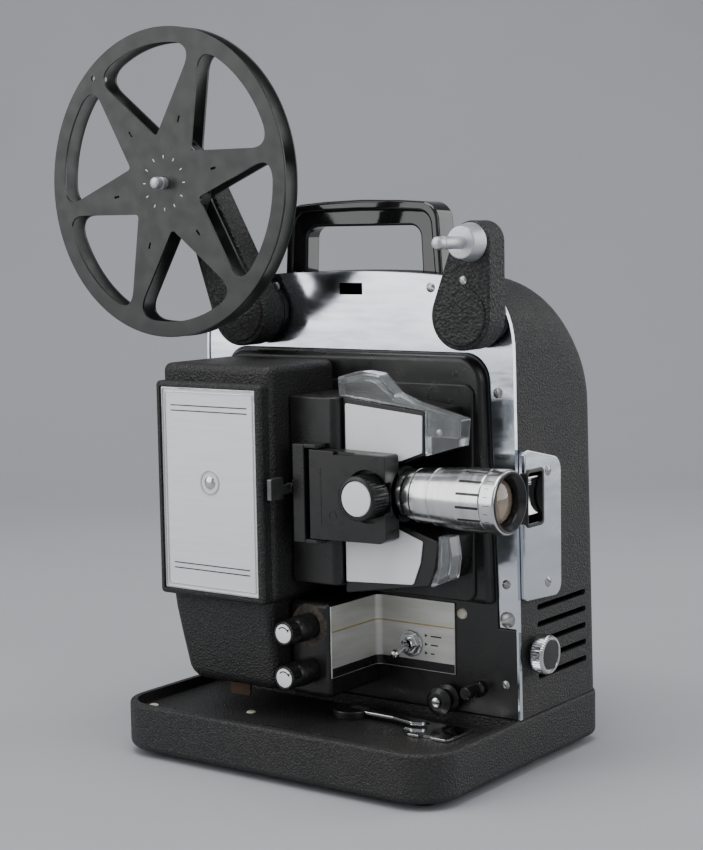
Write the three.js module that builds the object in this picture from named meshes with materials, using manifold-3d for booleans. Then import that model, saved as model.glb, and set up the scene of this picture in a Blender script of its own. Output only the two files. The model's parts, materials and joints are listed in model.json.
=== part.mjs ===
// A table-top film projector with an empty reel, in millimetres, +Z up.
// +X is the way the lens points, -Y is the operator's side, where the film is threaded.
// Design frame: x = 0 on the case's centre line, y = 0 on the face of the bright trim plate,
// z = 0 on the table. The whole model is moved at the end so that its origin is the middle
// of its box's underside.
import * as THREE from 'three';
import { ConvexGeometry } from 'three/addons/geometries/ConvexGeometry.js';
import { mergeVertices } from 'three/addons/utils/BufferGeometryUtils.js';
import Module from 'manifold-3d';

const wasm = await Module();
wasm.setup();

// ---- Driving dimensions ---------------------------------------------------------------
const gap = 0.3;                 // clearance between pieces that touch

const caseHalfWidth = 110.5;     // case, at its foot
const caseTop = 276.2;           // crown of the case above the table
const caseDepth = 90;            // trim plate's face to the back of the cover
const caseTaper = 3.2;           // how much each side leans in by the top
const shoulderRadius = 42;       // round top corners seen from the front
const backRadius = 64;           // round top edge at the back
const coverWall = 2.5;
const trimThickness = 1.8;

const baseHalfWidth = 111.5;     // tray that everything stands on
const baseFront = -88;
const baseBack = caseDepth + 1.5;
const baseTop = 30.6;            // rim of the tray
const trayFloor = 24.5;          // sunk floor in front of the case
const footHeight = 3;
const footRadius = 8;

const padFace = -8;              // front of the raised pad that the film gear is fixed to
const padBottom = 95;
const padTop = 215;
const lowerTop = 93.6;           // top of what stands under the raised pad
const padHalfWidth = 86;

const lightY = -40;              // optical axis, also the middle plane of the film
const lightZ = 158;
const filmWidth = 8;

const lampLeft = -86.5;          // lamp house
const lampRight = -8;
const lampBottom = 94;
const lampTop = 226;
const lampFront = -66;
const bezelFront = -72.5;
const lampWall = 2.5;
const lampFrontWall = 1.4;       // behind the bezel
const lampRounding = 4.5;        // outer edges of the lamp house

const shutterRight = 25;         // shutter housing
const shutterFront = -50;
const shutterBottom = 105;
const shutterTop = 209;
const shutterRadius = 51;
const shaftY = 10;               // main shaft, behind the pad
const shaftRadius = 3;

const guideFront = -44;          // film guide castings
const panelThickness = 0.7;

const carrierFront = -60;        // swing-out lens carrier
const carrierBack = -47;
const carrierBottom = 132;
const carrierTop = 181.5;
const carrierRight = 64;
const hingeX = 16;
const hingeY = -55.5;
const tubeRadius = 12.4;         // lens tube in the carrier's bore
const lensShoulder = 68;         // where the lens widens in front of the carrier
const lensFront = 129.5;
const lensRadius = 17.2;

const supplyArmLength = 40;
const supplyArmLean = 10.4;      // degrees away from upright
const supplyPivotX = 87.4;
const takeUpArmLength = 82.5;
const takeUpArmLean = 24;
const takeUpPivotX = -65;
const armPivotZ = 252.6;
const armBack = -5;
const armThickness = 17;
const spindleTip = -55.3;
const spindlePin = 3.4;

const reelRadius = 89;           // 400 ft reel
const reelFront = -46;
const flangeThickness = 1.4;
const reelInnerWidth = 8.8;      // between the flanges
const reelCore = 28.5;

const controlX = 1.5;            // the two small control knobs
const controlZ = [79.8, 55];
const bracketFront = -47;
const bracketRight = 15.5;

const elevationY = 16;           // tilt control on the lens side
const elevationZ = 65.5;
const pinionRadius = 5.7;
const legY = 26.2;

const rockerX = 103;             // pivot of the thumb rocker in the side plate
const rockerY = 10.8;
const rockerZ = 154;
const rockerTip = 112.6;         // its two thumb edges
const rockerHalf = 11;           // half its height
const rockerWidth = 12.5;
const rockerHollow = 3.2;        // how deep its face is hollowed

const sprocketX = 58;            // film sprocket in the upper guide
const sprocketZ = 190;

const motorY = 48;
const motorZ = 85;
const motorRadius = 24;

// ---- Materials ------------------------------------------------------------------------
function material(color, roughness, metalness = 0, opacity = 1) {
  return new THREE.MeshStandardMaterial({
    color, roughness, metalness, opacity, transparent: opacity < 1,
  });
}

const finish = {
  wrinkle: () => material(0x232324, 0.75),
  smoothBlack: () => material(0x1b1c1c, 0.45),
  glossBlack: () => material(0x0b0b0c, 0.12),
  aluminium: () => material(0xd2d6da, 0.2, 1),
  satin: () => material(0xc9ccce, 0.45, 0.8),
  white: () => material(0xe4e4e2, 0.5),
  chrome: () => material(0xe0e0e0, 0.12, 1),
  steel: () => material(0xa0a0a0, 0.35, 1),
  clear: () => material(0xe8ecec, 0.08, 0, 0.35),
  glass: () => material(0x9aa4a8, 0.03, 0, 0.4),
  rubber: () => material(0x151515, 0.9),
  label: () => material(0xb9b6aa, 0.5, 0.5),
};

// ---- Solids ---------------------------------------------------------------------------
// Signed volume of an indexed mesh: positive when its faces point out.
function signedVolume(vertices, triangles) {
  const a = new THREE.Vector3();
  const b = new THREE.Vector3();
  const c = new THREE.Vector3();
  let volume = 0;
  for (let t = 0; t < triangles.length; t += 3) {
    a.fromArray(vertices, triangles[t] * 3);
    b.fromArray(vertices, triangles[t + 1] * 3);
    c.fromArray(vertices, triangles[t + 2] * 3);
    volume += a.dot(b.cross(c)) / 6;
  }
  return volume;
}

// A three.js geometry as a solid that can be cut and joined.
function solid(geometry) {
  const bare = geometry.clone();
  bare.deleteAttribute('normal');
  bare.deleteAttribute('uv');
  const merged = mergeVertices(bare, 1e-4);
  const vertProperties = new Float32Array(merged.attributes.position.array);
  let triVerts = Uint32Array.from(merged.index.array);
  const kept = [];
  for (let t = 0; t < triVerts.length; t += 3) {
    const [a, b, c] = triVerts.subarray(t, t + 3);
    if (a !== b && b !== c && c !== a) kept.push(a, b, c);
  }
  triVerts = Uint32Array.from(kept);
  if (signedVolume(vertProperties, triVerts) < 0) {
    for (let t = 0; t < triVerts.length; t += 3) {
      [triVerts[t], triVerts[t + 1]] = [triVerts[t + 1], triVerts[t]];
    }
  }
  return new wasm.Manifold(new wasm.Mesh({ numProp: 3, vertProperties, triVerts }));
}

// A solid as a three.js geometry.
function toGeometry(body) {
  const mesh = body.getMesh();
  const geometry = new THREE.BufferGeometry();
  geometry.setAttribute('position', new THREE.BufferAttribute(mesh.vertProperties, 3));
  geometry.setIndex(new THREE.BufferAttribute(mesh.triVerts, 1));
  geometry.computeVertexNormals();
  return geometry;
}

function box(x0, x1, y0, y1, z0, z1) {
  const geometry = new THREE.BoxGeometry(x1 - x0, y1 - y0, z1 - z0);
  return solid(geometry.translate((x0 + x1) / 2, (y0 + y1) / 2, (z0 + z1) / 2));
}

// A closed outline from corners [u, v, radius]; a corner with a radius is rounded, and the
// rounding takes less than half of the shorter side beside it.
function outline(corners) {
  const shape = new THREE.Shape();
  corners.forEach(([u, v, wanted = 0], i) => {
    const corner = new THREE.Vector2(u, v);
    const before = new THREE.Vector2(...corners.at(i - 1).slice(0, 2)).sub(corner);
    const after = new THREE.Vector2(...corners[(i + 1) % corners.length].slice(0, 2)).sub(corner);
    const radius = Math.min(wanted, 0.48 * before.length(), 0.48 * after.length());
    const start = before.setLength(radius).add(corner);
    const end = after.setLength(radius).add(corner);
    if (i === 0) shape.moveTo(start.x, start.y);
    else shape.lineTo(start.x, start.y);
    if (radius > 0) shape.quadraticCurveTo(u, v, end.x, end.y);
  });
  shape.closePath();
  return shape;
}

function rectangle(u0, u1, v0, v1, radius = 0) {
  return outline([[u0, v0, radius], [u1, v0, radius], [u1, v1, radius], [u0, v1, radius]]);
}

// Basis for each drawing plane: where the outline's u, v and the depth go.
const planes = {
  xz: new THREE.Matrix4().makeBasis(
    new THREE.Vector3(1, 0, 0), new THREE.Vector3(0, 0, 1), new THREE.Vector3(0, -1, 0)),
  yz: new THREE.Matrix4().makeBasis(
    new THREE.Vector3(0, 1, 0), new THREE.Vector3(0, 0, 1), new THREE.Vector3(1, 0, 0)),
  xy: new THREE.Matrix4(),
};

// An outline drawn in a plane and given depth from one level to another across the plane.
function slab(plane, shape, from, to, segments = 5, bevel = 0) {
  const depth = Math.abs(to - from);
  const geometry = new THREE.ExtrudeGeometry(shape, {
    depth: depth - 2 * bevel,
    curveSegments: segments,
    bevelEnabled: bevel > 0,
    bevelThickness: bevel,
    bevelSize: bevel,
    bevelOffset: -bevel,
    bevelSegments: 2,
  });
  const start = plane === 'xz' ? -Math.max(from, to) : Math.min(from, to);
  return solid(geometry.translate(0, 0, start + bevel).applyMatrix4(planes[plane]));
}

// A turned piece: profile points [radius, distance along the axis], about a line through
// (x, y, z) parallel to one of the axes.
function turned(axis, profile, [x, y, z], segments = 20) {
  const points = profile.map(([radius, along]) => new THREE.Vector2(radius, along));
  const geometry = new THREE.LatheGeometry(points, segments);
  if (axis === 'x') geometry.rotateZ(-Math.PI / 2);
  if (axis === 'z') geometry.rotateX(Math.PI / 2);
  return solid(geometry.translate(x, y, z));
}

// A plain round bar between two levels on its axis.
function bar(axis, radius, from, to, centre, segments = 20) {
  return turned(axis, [[0, from], [radius, from], [radius, to], [0, to]], centre, segments);
}

// The convex solid round a set of points.
function hull(points) {
  return solid(new ConvexGeometry(points));
}

// A box with rounded edges.
function softBox(x0, x1, y0, y1, z0, z1, radius, steps = 3) {
  const points = [];
  for (const [x, sx] of [[x0 + radius, -1], [x1 - radius, 1]]) {
    for (const [y, sy] of [[y0 + radius, -1], [y1 - radius, 1]]) {
      for (const [z, sz] of [[z0 + radius, -1], [z1 - radius, 1]]) {
        for (let i = 0; i <= steps; i += 1) {
          const up = (Math.PI / 2) * (i / steps);
          for (let j = 0; j <= steps; j += 1) {
            const round = (Math.PI / 2) * (j / steps);
            points.push(new THREE.Vector3(
              x + sx * radius * Math.cos(up) * Math.cos(round),
              y + sy * radius * Math.cos(up) * Math.sin(round),
              z + sz * radius * Math.sin(up),
            ));
          }
        }
      }
    }
  }
  return hull(points);
}

function join(...bodies) {
  return bodies.reduce((whole, body) => whole.add(body));
}

// ---- Assembly -------------------------------------------------------------------------
const model = new THREE.Group();

function place(name, body, make, parent = model) {
  const mesh = new THREE.Mesh(toGeometry(body), make());
  mesh.name = name;
  parent.add(mesh);
  return mesh;
}

// ---- Case: front outline shared by the trim plate, the pad and the cover ---------------
const crownSag = 2.6;

function caseOutline(inset = 0, drop = 0, foot = baseTop + gap) {
  const half = caseHalfWidth - inset;
  const top = caseTop - drop - crownSag;
  const shape = new THREE.Shape();
  const lean = caseHalfWidth - caseTaper - inset;
  shape.moveTo(-half, foot);
  shape.lineTo(half, foot);
  shape.lineTo(lean + 0.2, top - shoulderRadius);
  shape.quadraticCurveTo(lean, top, lean - shoulderRadius, top);
  shape.quadraticCurveTo(0, top + 2 * crownSag, shoulderRadius - lean, top);
  shape.quadraticCurveTo(-lean, top, -lean - 0.2, top - shoulderRadius);
  shape.closePath();
  return shape;
}

// The cover's outer or inner solid: front outlines that shrink round the back edges.
function coverSolid(inset, front, foot) {
  const sideRadius = 12;
  const back = caseDepth - inset;
  const points = [];
  const levels = [backRadius, 44, 30, 19, 11, 6, 2].map((short) => caseDepth - short);
  for (const depth of [front, ...levels, back]) {
    const y = Math.min(depth, back);
    const pastTop = Math.max(0, y + backRadius - caseDepth);
    const pastSide = Math.max(0, y + sideRadius - caseDepth);
    const drop = backRadius - Math.sqrt(Math.max(0, backRadius ** 2 - pastTop ** 2));
    const narrow = sideRadius - Math.sqrt(Math.max(0, sideRadius ** 2 - pastSide ** 2));
    for (const point of caseOutline(inset + narrow, inset + drop, foot).getPoints(5)) {
      points.push(new THREE.Vector3(point.x, y, point.y));
    }
  }
  return hull(points);
}

const trimFoot = 81;
const openingFootHalf = 97.2;
const openingTopHalf = 91.6;
const openingTop = 231.5;

// Round-cornered opening of the trim plate, which the black plate fills.
function openingOutline(inset, foot) {
  const slope = (openingFootHalf - openingTopHalf) / (openingTop - trimFoot);
  const low = openingFootHalf - (foot - trimFoot) * slope - inset;
  const high = openingTopHalf - inset;
  const top = openingTop - inset;
  return outline([[-low, foot], [low, foot], [high, top, 15], [-high, top, 15]]);
}

const windowHalf = 8;            // small window in the top of the trim plate

function trimPlate() {
  const upper = box(-200, 200, -5, 5, trimFoot, 400);
  return slab('xz', caseOutline(), 0, trimThickness, 10).intersect(upper)
    .subtract(slab('xz', openingOutline(0, 0), -1, trimThickness + 1, 6))
    .subtract(box(-windowHalf, windowHalf, -1, trimThickness + 1, 262.7, 269.4));
}
place('trim_plate', trimPlate(), finish.aluminium);

const skirtFace = -1;            // lower part of the black plate, below the trim plate
const shutterSlot = [3, 13];

function mechanismPlate() {
  const below = box(-200, 200, -5, 5, 0, trimFoot - gap);
  const skirt = slab('xz', caseOutline(), skirtFace, trimThickness, 6).intersect(below);
  const fill = slab('xz', openingOutline(gap, 40), skirtFace, trimThickness, 6);
  const raised = slab('xz', openingOutline(1.5, padBottom - 1), -6, trimThickness, 5, 3.5);
  const pad = slab('xz', rectangle(-padHalfWidth, padHalfWidth, padBottom, padTop, 6), padFace, 0);
  const slotHalf = Math.sqrt(shutterRadius ** 2 - (shaftY - padFace) ** 2) + 2;
  return join(skirt, fill, raised, pad)
    .subtract(box(...shutterSlot, -20, 20, lightZ - slotHalf - 2, lightZ + slotHalf + 2))
    .subtract(box(-70, -24, -20, 20, 104, 132))
    .subtract(bar('y', 3.3, -20, 20, [sprocketX, 0, sprocketZ]));
}
place('mechanism_plate', mechanismPlate(), finish.smoothBlack);

// Side openings of the cover: window for the thumb rocker, vent slots, hole for the knob.
const rockerWindow = [2.6, 19, 139, 167];
const ventFront = 19.5;
const ventBack = 73.7;
const ventTop = 91.8;
const ventPitch = 9.7;
const ventHeight = 3.3;
const ventCount = 5;

function rearCover() {
  const coverFront = trimThickness + gap;
  let cover = coverSolid(0, coverFront, baseTop + gap)
    .subtract(coverSolid(coverWall, coverFront - 5, baseTop - 5));
  const [y0, y1, z0, z1] = rockerWindow;
  cover = cover.subtract(box(80, 130, y0, y1, z0, z1));
  cover = cover.subtract(bar('x', shaftRadius + gap, 90, 130, [0, elevationY, elevationZ]));
  for (let slot = 0; slot < ventCount; slot += 1) {
    const top = ventTop - slot * ventPitch;
    const front = Math.abs(top - elevationZ) < 12 ? elevationY + 12 : ventFront;
    cover = cover.subtract(box(90, 130, front, ventBack, top - ventHeight, top));
    cover = cover.subtract(box(-130, -90, ventFront, ventBack, top - ventHeight, top));
  }
  return cover;
}
place('rear_cover', rearCover(), finish.wrinkle);

// ---- Base ------------------------------------------------------------------------------
const tubWall = 3.2;
const footInset = 20;
const footSpots = {
  foot_front_left: [-baseHalfWidth + footInset, baseFront + footInset],
  foot_front_right: [baseHalfWidth - footInset, baseFront + footInset],
  foot_rear_left: [-baseHalfWidth + footInset, baseBack - footInset],
  foot_rear_right: [baseHalfWidth - footInset, baseBack - footInset],
};
const legX = [96, 104];
const legHalf = 4;

function basePlan(inset) {
  return outline([
    [-baseHalfWidth + inset, baseFront + inset, 24 - inset],
    [baseHalfWidth - inset, baseFront + inset, 24 - inset],
    [baseHalfWidth - inset, baseBack - inset, 13 - inset],
    [-baseHalfWidth + inset, baseBack - inset, 13 - inset],
  ]);
}

function baseTray() {
  const points = [];
  const levels = [
    [footHeight + gap, 4], [footHeight + 1.5, 1.6], [footHeight + 4.5, 0],
    [baseTop - 1.2, 0], [baseTop, 1.2],
  ];
  for (const [z, inset] of levels) {
    for (const point of basePlan(inset).getPoints(5)) {
      points.push(new THREE.Vector3(point.x, point.y, z));
    }
  }
  let tray = hull(points);
  const rim = 4.5;
  const sunk = outline([
    [-baseHalfWidth + rim, baseFront + rim, 19], [baseHalfWidth - rim, baseFront + rim, 19],
    [baseHalfWidth - rim, -2.5], [-baseHalfWidth + rim, -2.5],
  ]);
  tray = tray.subtract(slab('xy', sunk, trayFloor, baseTop + 10));
  const under = slab('xy', basePlan(tubWall), -5, trayFloor - tubWall);
  const bosses = Object.values(footSpots).map(([x, y]) => bar('z', 12, -10, 30, [x, y, 0]));
  tray = tray.subtract(under.subtract(join(...bosses)));
  return tray.subtract(box(
    legX[0] - 1, legX[1] + 1, legY - legHalf - 1, legY + legHalf + 1, -10, 40));
}
place('base_tray', baseTray(), finish.wrinkle);
for (const [name, [x, y]] of Object.entries(footSpots)) {
  const profile = [[0, 0], [footRadius - 1, 0], [footRadius, 1], [footRadius, footHeight], [0, footHeight]];
  place(name, turned('z', profile, [x, y, 0], 20), finish.rubber);
}

// Trimmer on the tray floor: a bright cutting plate and an arm that lifts on a pivot boss.
const trimmerPivotX = 12;
const trimmerY = -22;
const trimmerPlate = { x0: 55, x1: 89, y0: -41, y1: -14, thickness: 1.5 };
const bossRadius = 11;

function trimmerPlateSolid() {
  const { x0, x1, y0, y1, thickness } = trimmerPlate;
  const plan = outline([[x0, y0 + 6, 2], [x0 + 8, y0, 2], [x1, y0, 2], [x1, y1, 2], [x0, y1, 2]]);
  const level = trayFloor + gap;
  return slab('xy', plan, level, level + thickness)
    .subtract(bar('z', 2, level - 5, level + 10, [x0 + 6, y1 - 5, 0], 16))
    .subtract(bar('z', 2, level - 5, level + 10, [x1 - 12, y1 - 4, 0], 16));
}
place('film_trimmer_plate', trimmerPlateSolid(), finish.chrome);

const bossTop = trayFloor + 5;
function trimmerBoss() {
  const profile = [[0, trayFloor + gap], [bossRadius, trayFloor + gap], [bossRadius, bossTop - 1],
    [bossRadius - 1, bossTop], [0, bossTop]];
  return turned('z', profile, [trimmerPivotX, trimmerY, 0])
    .subtract(box(trimmerPivotX - 4, 60, trimmerY - 3, trimmerY + 3, trayFloor + 1.2, 60));
}
place('film_trimmer_boss', trimmerBoss(), finish.glossBlack);

function trimmerArm() {
  const low = trayFloor + 2.7;
  const high = low + 1.8;
  const plan = outline([
    [trimmerPivotX - 3, trimmerY - 2.4, 1], [42, trimmerY - 3.2, 2], [57, trimmerY - 7, 3],
    [64, trimmerY - 5, 3], [64, trimmerY + 1, 3], [50, trimmerY + 1, 2],
    [trimmerPivotX - 3, trimmerY + 2.4, 1]]);
  return slab('xy', plan, low, high);
}
place('film_trimmer_arm', trimmerArm(), finish.chrome);

// ---- Carrying handle -------------------------------------------------------------------
function handle() {
  const outer = outline([[-56, 262], [56, 262], [52.5, 316.6, 11], [-52.5, 316.6, 11]]);
  const hole = outline([[-41, 255], [41, 255], [39.5, 301.3, 7], [-39.5, 301.3, 7]]);
  return slab('xz', outer, 10, 27, 6, 2.4)
    .subtract(slab('xz', hole, 0, 40, 6))
    .subtract(coverSolid(-gap, -5, baseTop));
}
place('handle', handle(), finish.glossBlack);

// ---- Lens side: side plate, thumb rocker, tilt control ---------------------------------
const plateInner = 111.2;        // outside of the cover plus clearance
function sidePlate() {
  const plate = outline([[-0.5, 97, 5], [41, 94.5, 7], [41, 172, 9], [-0.5, 181, 6]]);
  const shape = slab('yz', plate, 100, plateInner + 1.6, 6, 0.5);
  const [y0, y1, z0, z1] = rockerWindow;
  const lip = slab('yz', rectangle(y0 - 2.4, y1 + 1.6, z0 - 2, z1 + 2, 3), 108, plateInner + 3);
  return join(shape, lip)
    .subtract(coverSolid(-gap, -5, baseTop))
    .subtract(box(90, 130, -10, trimThickness + gap, 0, 300))
    .subtract(box(90, 130, y0, y1, z0, z1));
}
place('side_plate', sidePlate(), finish.aluminium);

// Thumb rocker with a hollowed face; its pivot is behind the side plate.
function sideRocker() {
  const root = rockerX - 3;
  const shape = new THREE.Shape();
  shape.moveTo(root, rockerZ - 4);
  shape.lineTo(rockerTip - 2, rockerZ - rockerHalf);
  shape.lineTo(rockerTip, rockerZ - rockerHalf + 1);
  shape.quadraticCurveTo(rockerTip - 2 * rockerHollow, rockerZ, rockerTip, rockerZ + rockerHalf - 1);
  shape.lineTo(rockerTip - 2, rockerZ + rockerHalf);
  shape.lineTo(root, rockerZ + 4);
  shape.closePath();
  return slab('xz', shape, rockerY - rockerWidth / 2, rockerY + rockerWidth / 2, 10);
}
place('side_rocker', sideRocker(), finish.chrome);

const knobFace = 120.3;
function elevationKnob() {
  return turned('x', [
    [0, legX[0] + 1], [pinionRadius - 0.4, legX[0] + 1], [pinionRadius - 0.4, legX[1] - 1],
    [shaftRadius, legX[1] - 1], [shaftRadius, caseHalfWidth + 1], [9.4, caseHalfWidth + 1],
    [11, caseHalfWidth + 2.6], [11, knobFace - 1], [10, knobFace], [0, knobFace],
  ], [0, elevationY, elevationZ], 20);
}
place('elevation_knob', elevationKnob(), finish.chrome);

function elevatingLeg() {
  const stem = box(...legX, legY - legHalf, legY + legHalf, footHeight, elevationZ + 8);
  const toeHalf = legHalf + 0.6;
  const toe = box(legX[0] - 0.6, legX[1] + 0.6, legY - toeHalf, legY + toeHalf, 1, footHeight + 2);
  return join(stem, toe);
}
place('elevating_leg', elevatingLeg(), finish.steel);

// ---- Lamp house ------------------------------------------------------------------------
const padGap = padFace - gap;
const panelEdges = [-82.7, -13.9, 97.8, 213];
const panelFace = -70.7;
const lampX = -47;
const lampSlotHalf = 15;         // slot in the cover's floor that lets it pull off past the lamp

function lampCover() {
  const shell = softBox(lampLeft, lampRight, lampFront, padGap + 20, lampBottom, lampTop, lampRounding)
    .intersect(box(-200, 200, -200, padGap, 0, 400));
  const bezel = softBox(lampLeft + 0.2, lampRight - 1.8, bezelFront, lampFront + 12,
    lampBottom + 0.2, lampTop - 9.6, 2.6);
  const hollow = box(lampLeft + lampWall, lampRight - lampWall, lampFront + lampFrontWall, 10,
    lampBottom + lampWall, lampTop - lampWall - 0.3);
  const [x0, x1, z0, z1] = panelEdges;
  const recess = box(x0 - gap, x1 + gap, -100, panelFace + 1 + gap, z0 - gap, z1 + gap);
  const beam = bar('x', 11, lampRight - 10, lampRight + 5, [0, lightY, lightZ]);
  const lampSlot = box(lampX - lampSlotHalf, lampX + lampSlotHalf, lightY - lampSlotHalf, 10,
    lampBottom - 5, lampBottom + lampWall + 1);
  return join(shell, bezel).subtract(hollow).subtract(recess).subtract(beam).subtract(lampSlot);
}
place('lamp_house_cover', lampCover(), finish.wrinkle);
place('name_panel', slab('xz', rectangle(...panelEdges, 1), panelFace, panelFace + 1), finish.satin);

function lampLower() {
  const taper = (inset, topLevel) => hull([
    ...softRing(-86 + inset, -13.4 - inset, -63 + inset, lowerTop, 5),
    ...softRing(-84.5 + inset, -13.4 - inset, -63 + inset, 84, 5),
    ...softRing(-78 + inset, -12.6 - inset, -60 + inset, 50 + inset * 0.5, 5),
    ...softRing(-73 + inset, -15 - inset, -55 + inset, 43 + inset, 5),
    ...(topLevel ? softRing(-86 + inset, -13.4 - inset, -63 + inset, topLevel, 5) : []),
  ]);
  return taper(0).subtract(taper(2.6, 110));
}

// Points of a level round-cornered rectangle that ends behind at the black plate's skirt.
function softRing(x0, x1, y0, z, radius) {
  const points = [];
  const back = skirtFace - gap;
  const shape = outline([[x0, y0, radius], [x1, y0, radius], [x1, back], [x0, back]]);
  for (const point of shape.getPoints(4)) points.push(new THREE.Vector3(point.x, point.y, z));
  return points;
}
place('lamp_house_lower', lampLower(), finish.wrinkle);

// Lamp on its socket, standing in the lower housing and reaching up into the cover.
const socketTop = 88;
place('lamp_socket', turned('z', [
  [0, 47], [11.5, 47], [11.5, 60], [13, 62], [13, socketTop], [0, socketTop],
], [lampX, lightY, 0], 16), finish.steel);
place('projection_lamp', turned('z', [
  [0, socketTop + gap], [10, socketTop + gap], [10, 96], [8.5, 104], [8.5, 112], [13, 124], [13, 176],
  [10.5, 182], [5.5, 186], [0, 187],
], [lampX, lightY, 0], 16), finish.glass);

// ---- Shutter housing, condenser, shutter and shaft ---------------------------------------
const housingLeft = lampRight + 0.8;
const housingWall = 2.4;
function shutterHousing() {
  const plan = outline([
    [housingLeft, shutterFront, 1.5], [shutterRight, shutterFront, 5],
    [shutterRight, padGap], [housingLeft, padGap],
  ]);
  const inside = box(housingLeft + housingWall, shutterRight - housingWall,
    shutterFront + housingWall, 10, shutterBottom + 2, shutterTop - 2);
  return slab('xy', plan, shutterBottom, shutterTop)
    .subtract(inside)
    .subtract(bar('x', 12.3, housingLeft - 5, housingLeft + 5, [0, lightY + 1.5, lightZ]))
    .subtract(box(shutterRight - 5, shutterRight + 5, lightY - 2.8, lightY + 2.8, lightZ - 2, lightZ + 2));
}
place('shutter_housing', shutterHousing(), finish.smoothBlack);

place('condenser_lens', turned('x', [
  [0, -7.2], [8, -7], [12, -6.4], [12, -4.5], [9, -3], [5, -1.2], [0, -0.4],
], [0, lightY + 1.5, lightZ]), finish.glass);

const discX = 8;
function shutterDisc() {
  const disc = bar('x', shutterRadius, discX - 0.6, discX + 0.6, [0, shaftY, lightZ], 30);
  const hub = bar('x', 6.5, discX - 2.5, discX + 2.5, [0, shaftY, lightZ], 12);
  const bore = bar('x', shaftRadius + gap, discX - 9, discX + 9, [0, shaftY, lightZ], 12);
  const blade = (turn) => {
    const shape = new THREE.Shape();
    shape.absarc(shaftY, lightZ, shutterRadius + 2, turn, turn + 0.9);
    shape.absarc(shaftY, lightZ, 22, turn + 0.9, turn, true);
    return slab('yz', shape, discX - 3, discX + 3, 5);
  };
  const windows = [0, 1, 2].map((n) => blade(Math.PI + 0.3 + n * (Math.PI * 2 / 3)));
  return join(disc, hub).subtract(join(...windows)).subtract(bore);
}
place('shutter_disc', shutterDisc(), finish.steel);

const pulleyX = [52, 60];
function mainShaft() {
  const profile = [[0, -6], [shaftRadius, -6], [shaftRadius, pulleyX[0]], [7, pulleyX[0]],
    [6.2, pulleyX[0] + 1.5], [6.2, pulleyX[1] - 1.5], [7, pulleyX[1]], [shaftRadius, pulleyX[1]],
    [shaftRadius, 88], [0, 88]];
  return turned('x', profile, [0, shaftY, lightZ], 14);
}
place('main_shaft', mainShaft(), finish.steel);

function driveMotor() {
  const can = turned('x', [
    [0, -26], [motorRadius - 4, -26], [motorRadius, -22], [motorRadius, 34], [motorRadius - 4, 38], [0, 38],
  ], [0, motorY, motorZ]);
  const foot = box(-16, 28, motorY - 16, motorY + 16, baseTop + gap, motorZ);
  return join(can, foot).subtract(bar('x', shaftRadius + gap, -40, 60, [0, motorY, motorZ]));
}
place('drive_motor', driveMotor(), finish.steel);

const fanX = [-66, -34];
function motorRotor() {
  return turned('x', [
    [0, fanX[0]], [8, fanX[0]], [8, fanX[1] - 6], [26, fanX[1] - 6], [26, fanX[1]], [shaftRadius, fanX[1]],
    [shaftRadius, pulleyX[0]], [6, pulleyX[0]], [5, pulleyX[0] + 1.5], [5, pulleyX[1] - 1.5],
    [6, pulleyX[1]], [0, pulleyX[1]],
  ], [0, motorY, motorZ], 16);
}
place('motor_rotor', motorRotor(), finish.steel);

// The belt stands in the two pulley grooves.
function driveBelt() {
  const x0 = pulleyX[0] + 2.2;
  const x1 = pulleyX[1] - 2.2;
  const loop = (extra) => {
    const points = [];
    for (const [y, z, radius] of [[shaftY, lightZ, 6.5], [motorY, motorZ, 5.3]]) {
      for (let step = 0; step < 12; step += 1) {
        const turn = (step / 12) * Math.PI * 2;
        const reach = radius + extra;
        points.push(new THREE.Vector3(x0, y + reach * Math.cos(turn), z + reach * Math.sin(turn)));
        points.push(new THREE.Vector3(x1, y + reach * Math.cos(turn), z + reach * Math.sin(turn)));
      }
    }
    return points;
  };
  const inner = loop(0).map((p) => p.setX(p.x < (x0 + x1) / 2 ? x0 - 5 : x1 + 5));
  return hull(loop(1.4)).subtract(hull(inner));
}
place('drive_belt', driveBelt(), finish.rubber);

// ---- Film guides -------------------------------------------------------------------------
const guideLeft = shutterRight + gap;
const channelBottom = 142;       // open channel that the lens carrier's tube swings in
const channelTop = 174.6;

function upperGuide() {
  const shape = outline([
    [guideLeft, channelTop], [64.5, channelTop], [78.9, 180.4, 1.5], [79.1, 203.2, 1.5],
    [guideLeft, 209.1, 1],
  ]);
  return slab('xz', shape, guideFront, padGap)
    .subtract(bar('y', 11, padFace - 40 + 6, 0, [sprocketX, 0, sprocketZ]));
}
place('upper_film_guide', upperGuide(), finish.smoothBlack);

function lowerGuide() {
  const shape = outline([
    [guideLeft, channelBottom - 0.4], [61.8, channelBottom - 0.4], [86.5, 134.4, 1.5],
    [84.5, 120, 10], [80.6, 109.8, 2], [guideLeft, 100.6, 1],
  ]);
  return slab('xz', shape, guideFront, padGap);
}
place('lower_film_guide', lowerGuide(), finish.smoothBlack);

const panelBack = guideFront - gap;
place('upper_guide_panel', slab('xz', outline([
  [27.5, 176], [63.3, 176], [77.4, 181.2], [77.8, 201.1], [27.5, 205.7],
]), panelBack - panelThickness, panelBack), finish.white);
place('lower_guide_panel', slab('xz', outline([
  [26.6, 107.3], [70.8, 109.8], [75.6, 122, 8], [77.3, 133.7], [62.2, 138.9], [26.6, 138.9],
]), panelBack - panelThickness, panelBack), finish.white);

function sprocket() {
  return turned('y', [
    [0, -42.5], [7.5, -42.5], [8.6, -41.5], [8.6, -38.5], [7.2, -37.5], [8.6, -36.5], [8.6, -33.5],
    [3, -33], [3, 12], [0, 12],
  ], [sprocketX, 0, sprocketZ], 16);
}
place('film_sprocket', sprocket().intersect(box(0, 100, -41.5, 40, 0, 300)), finish.steel);

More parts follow.
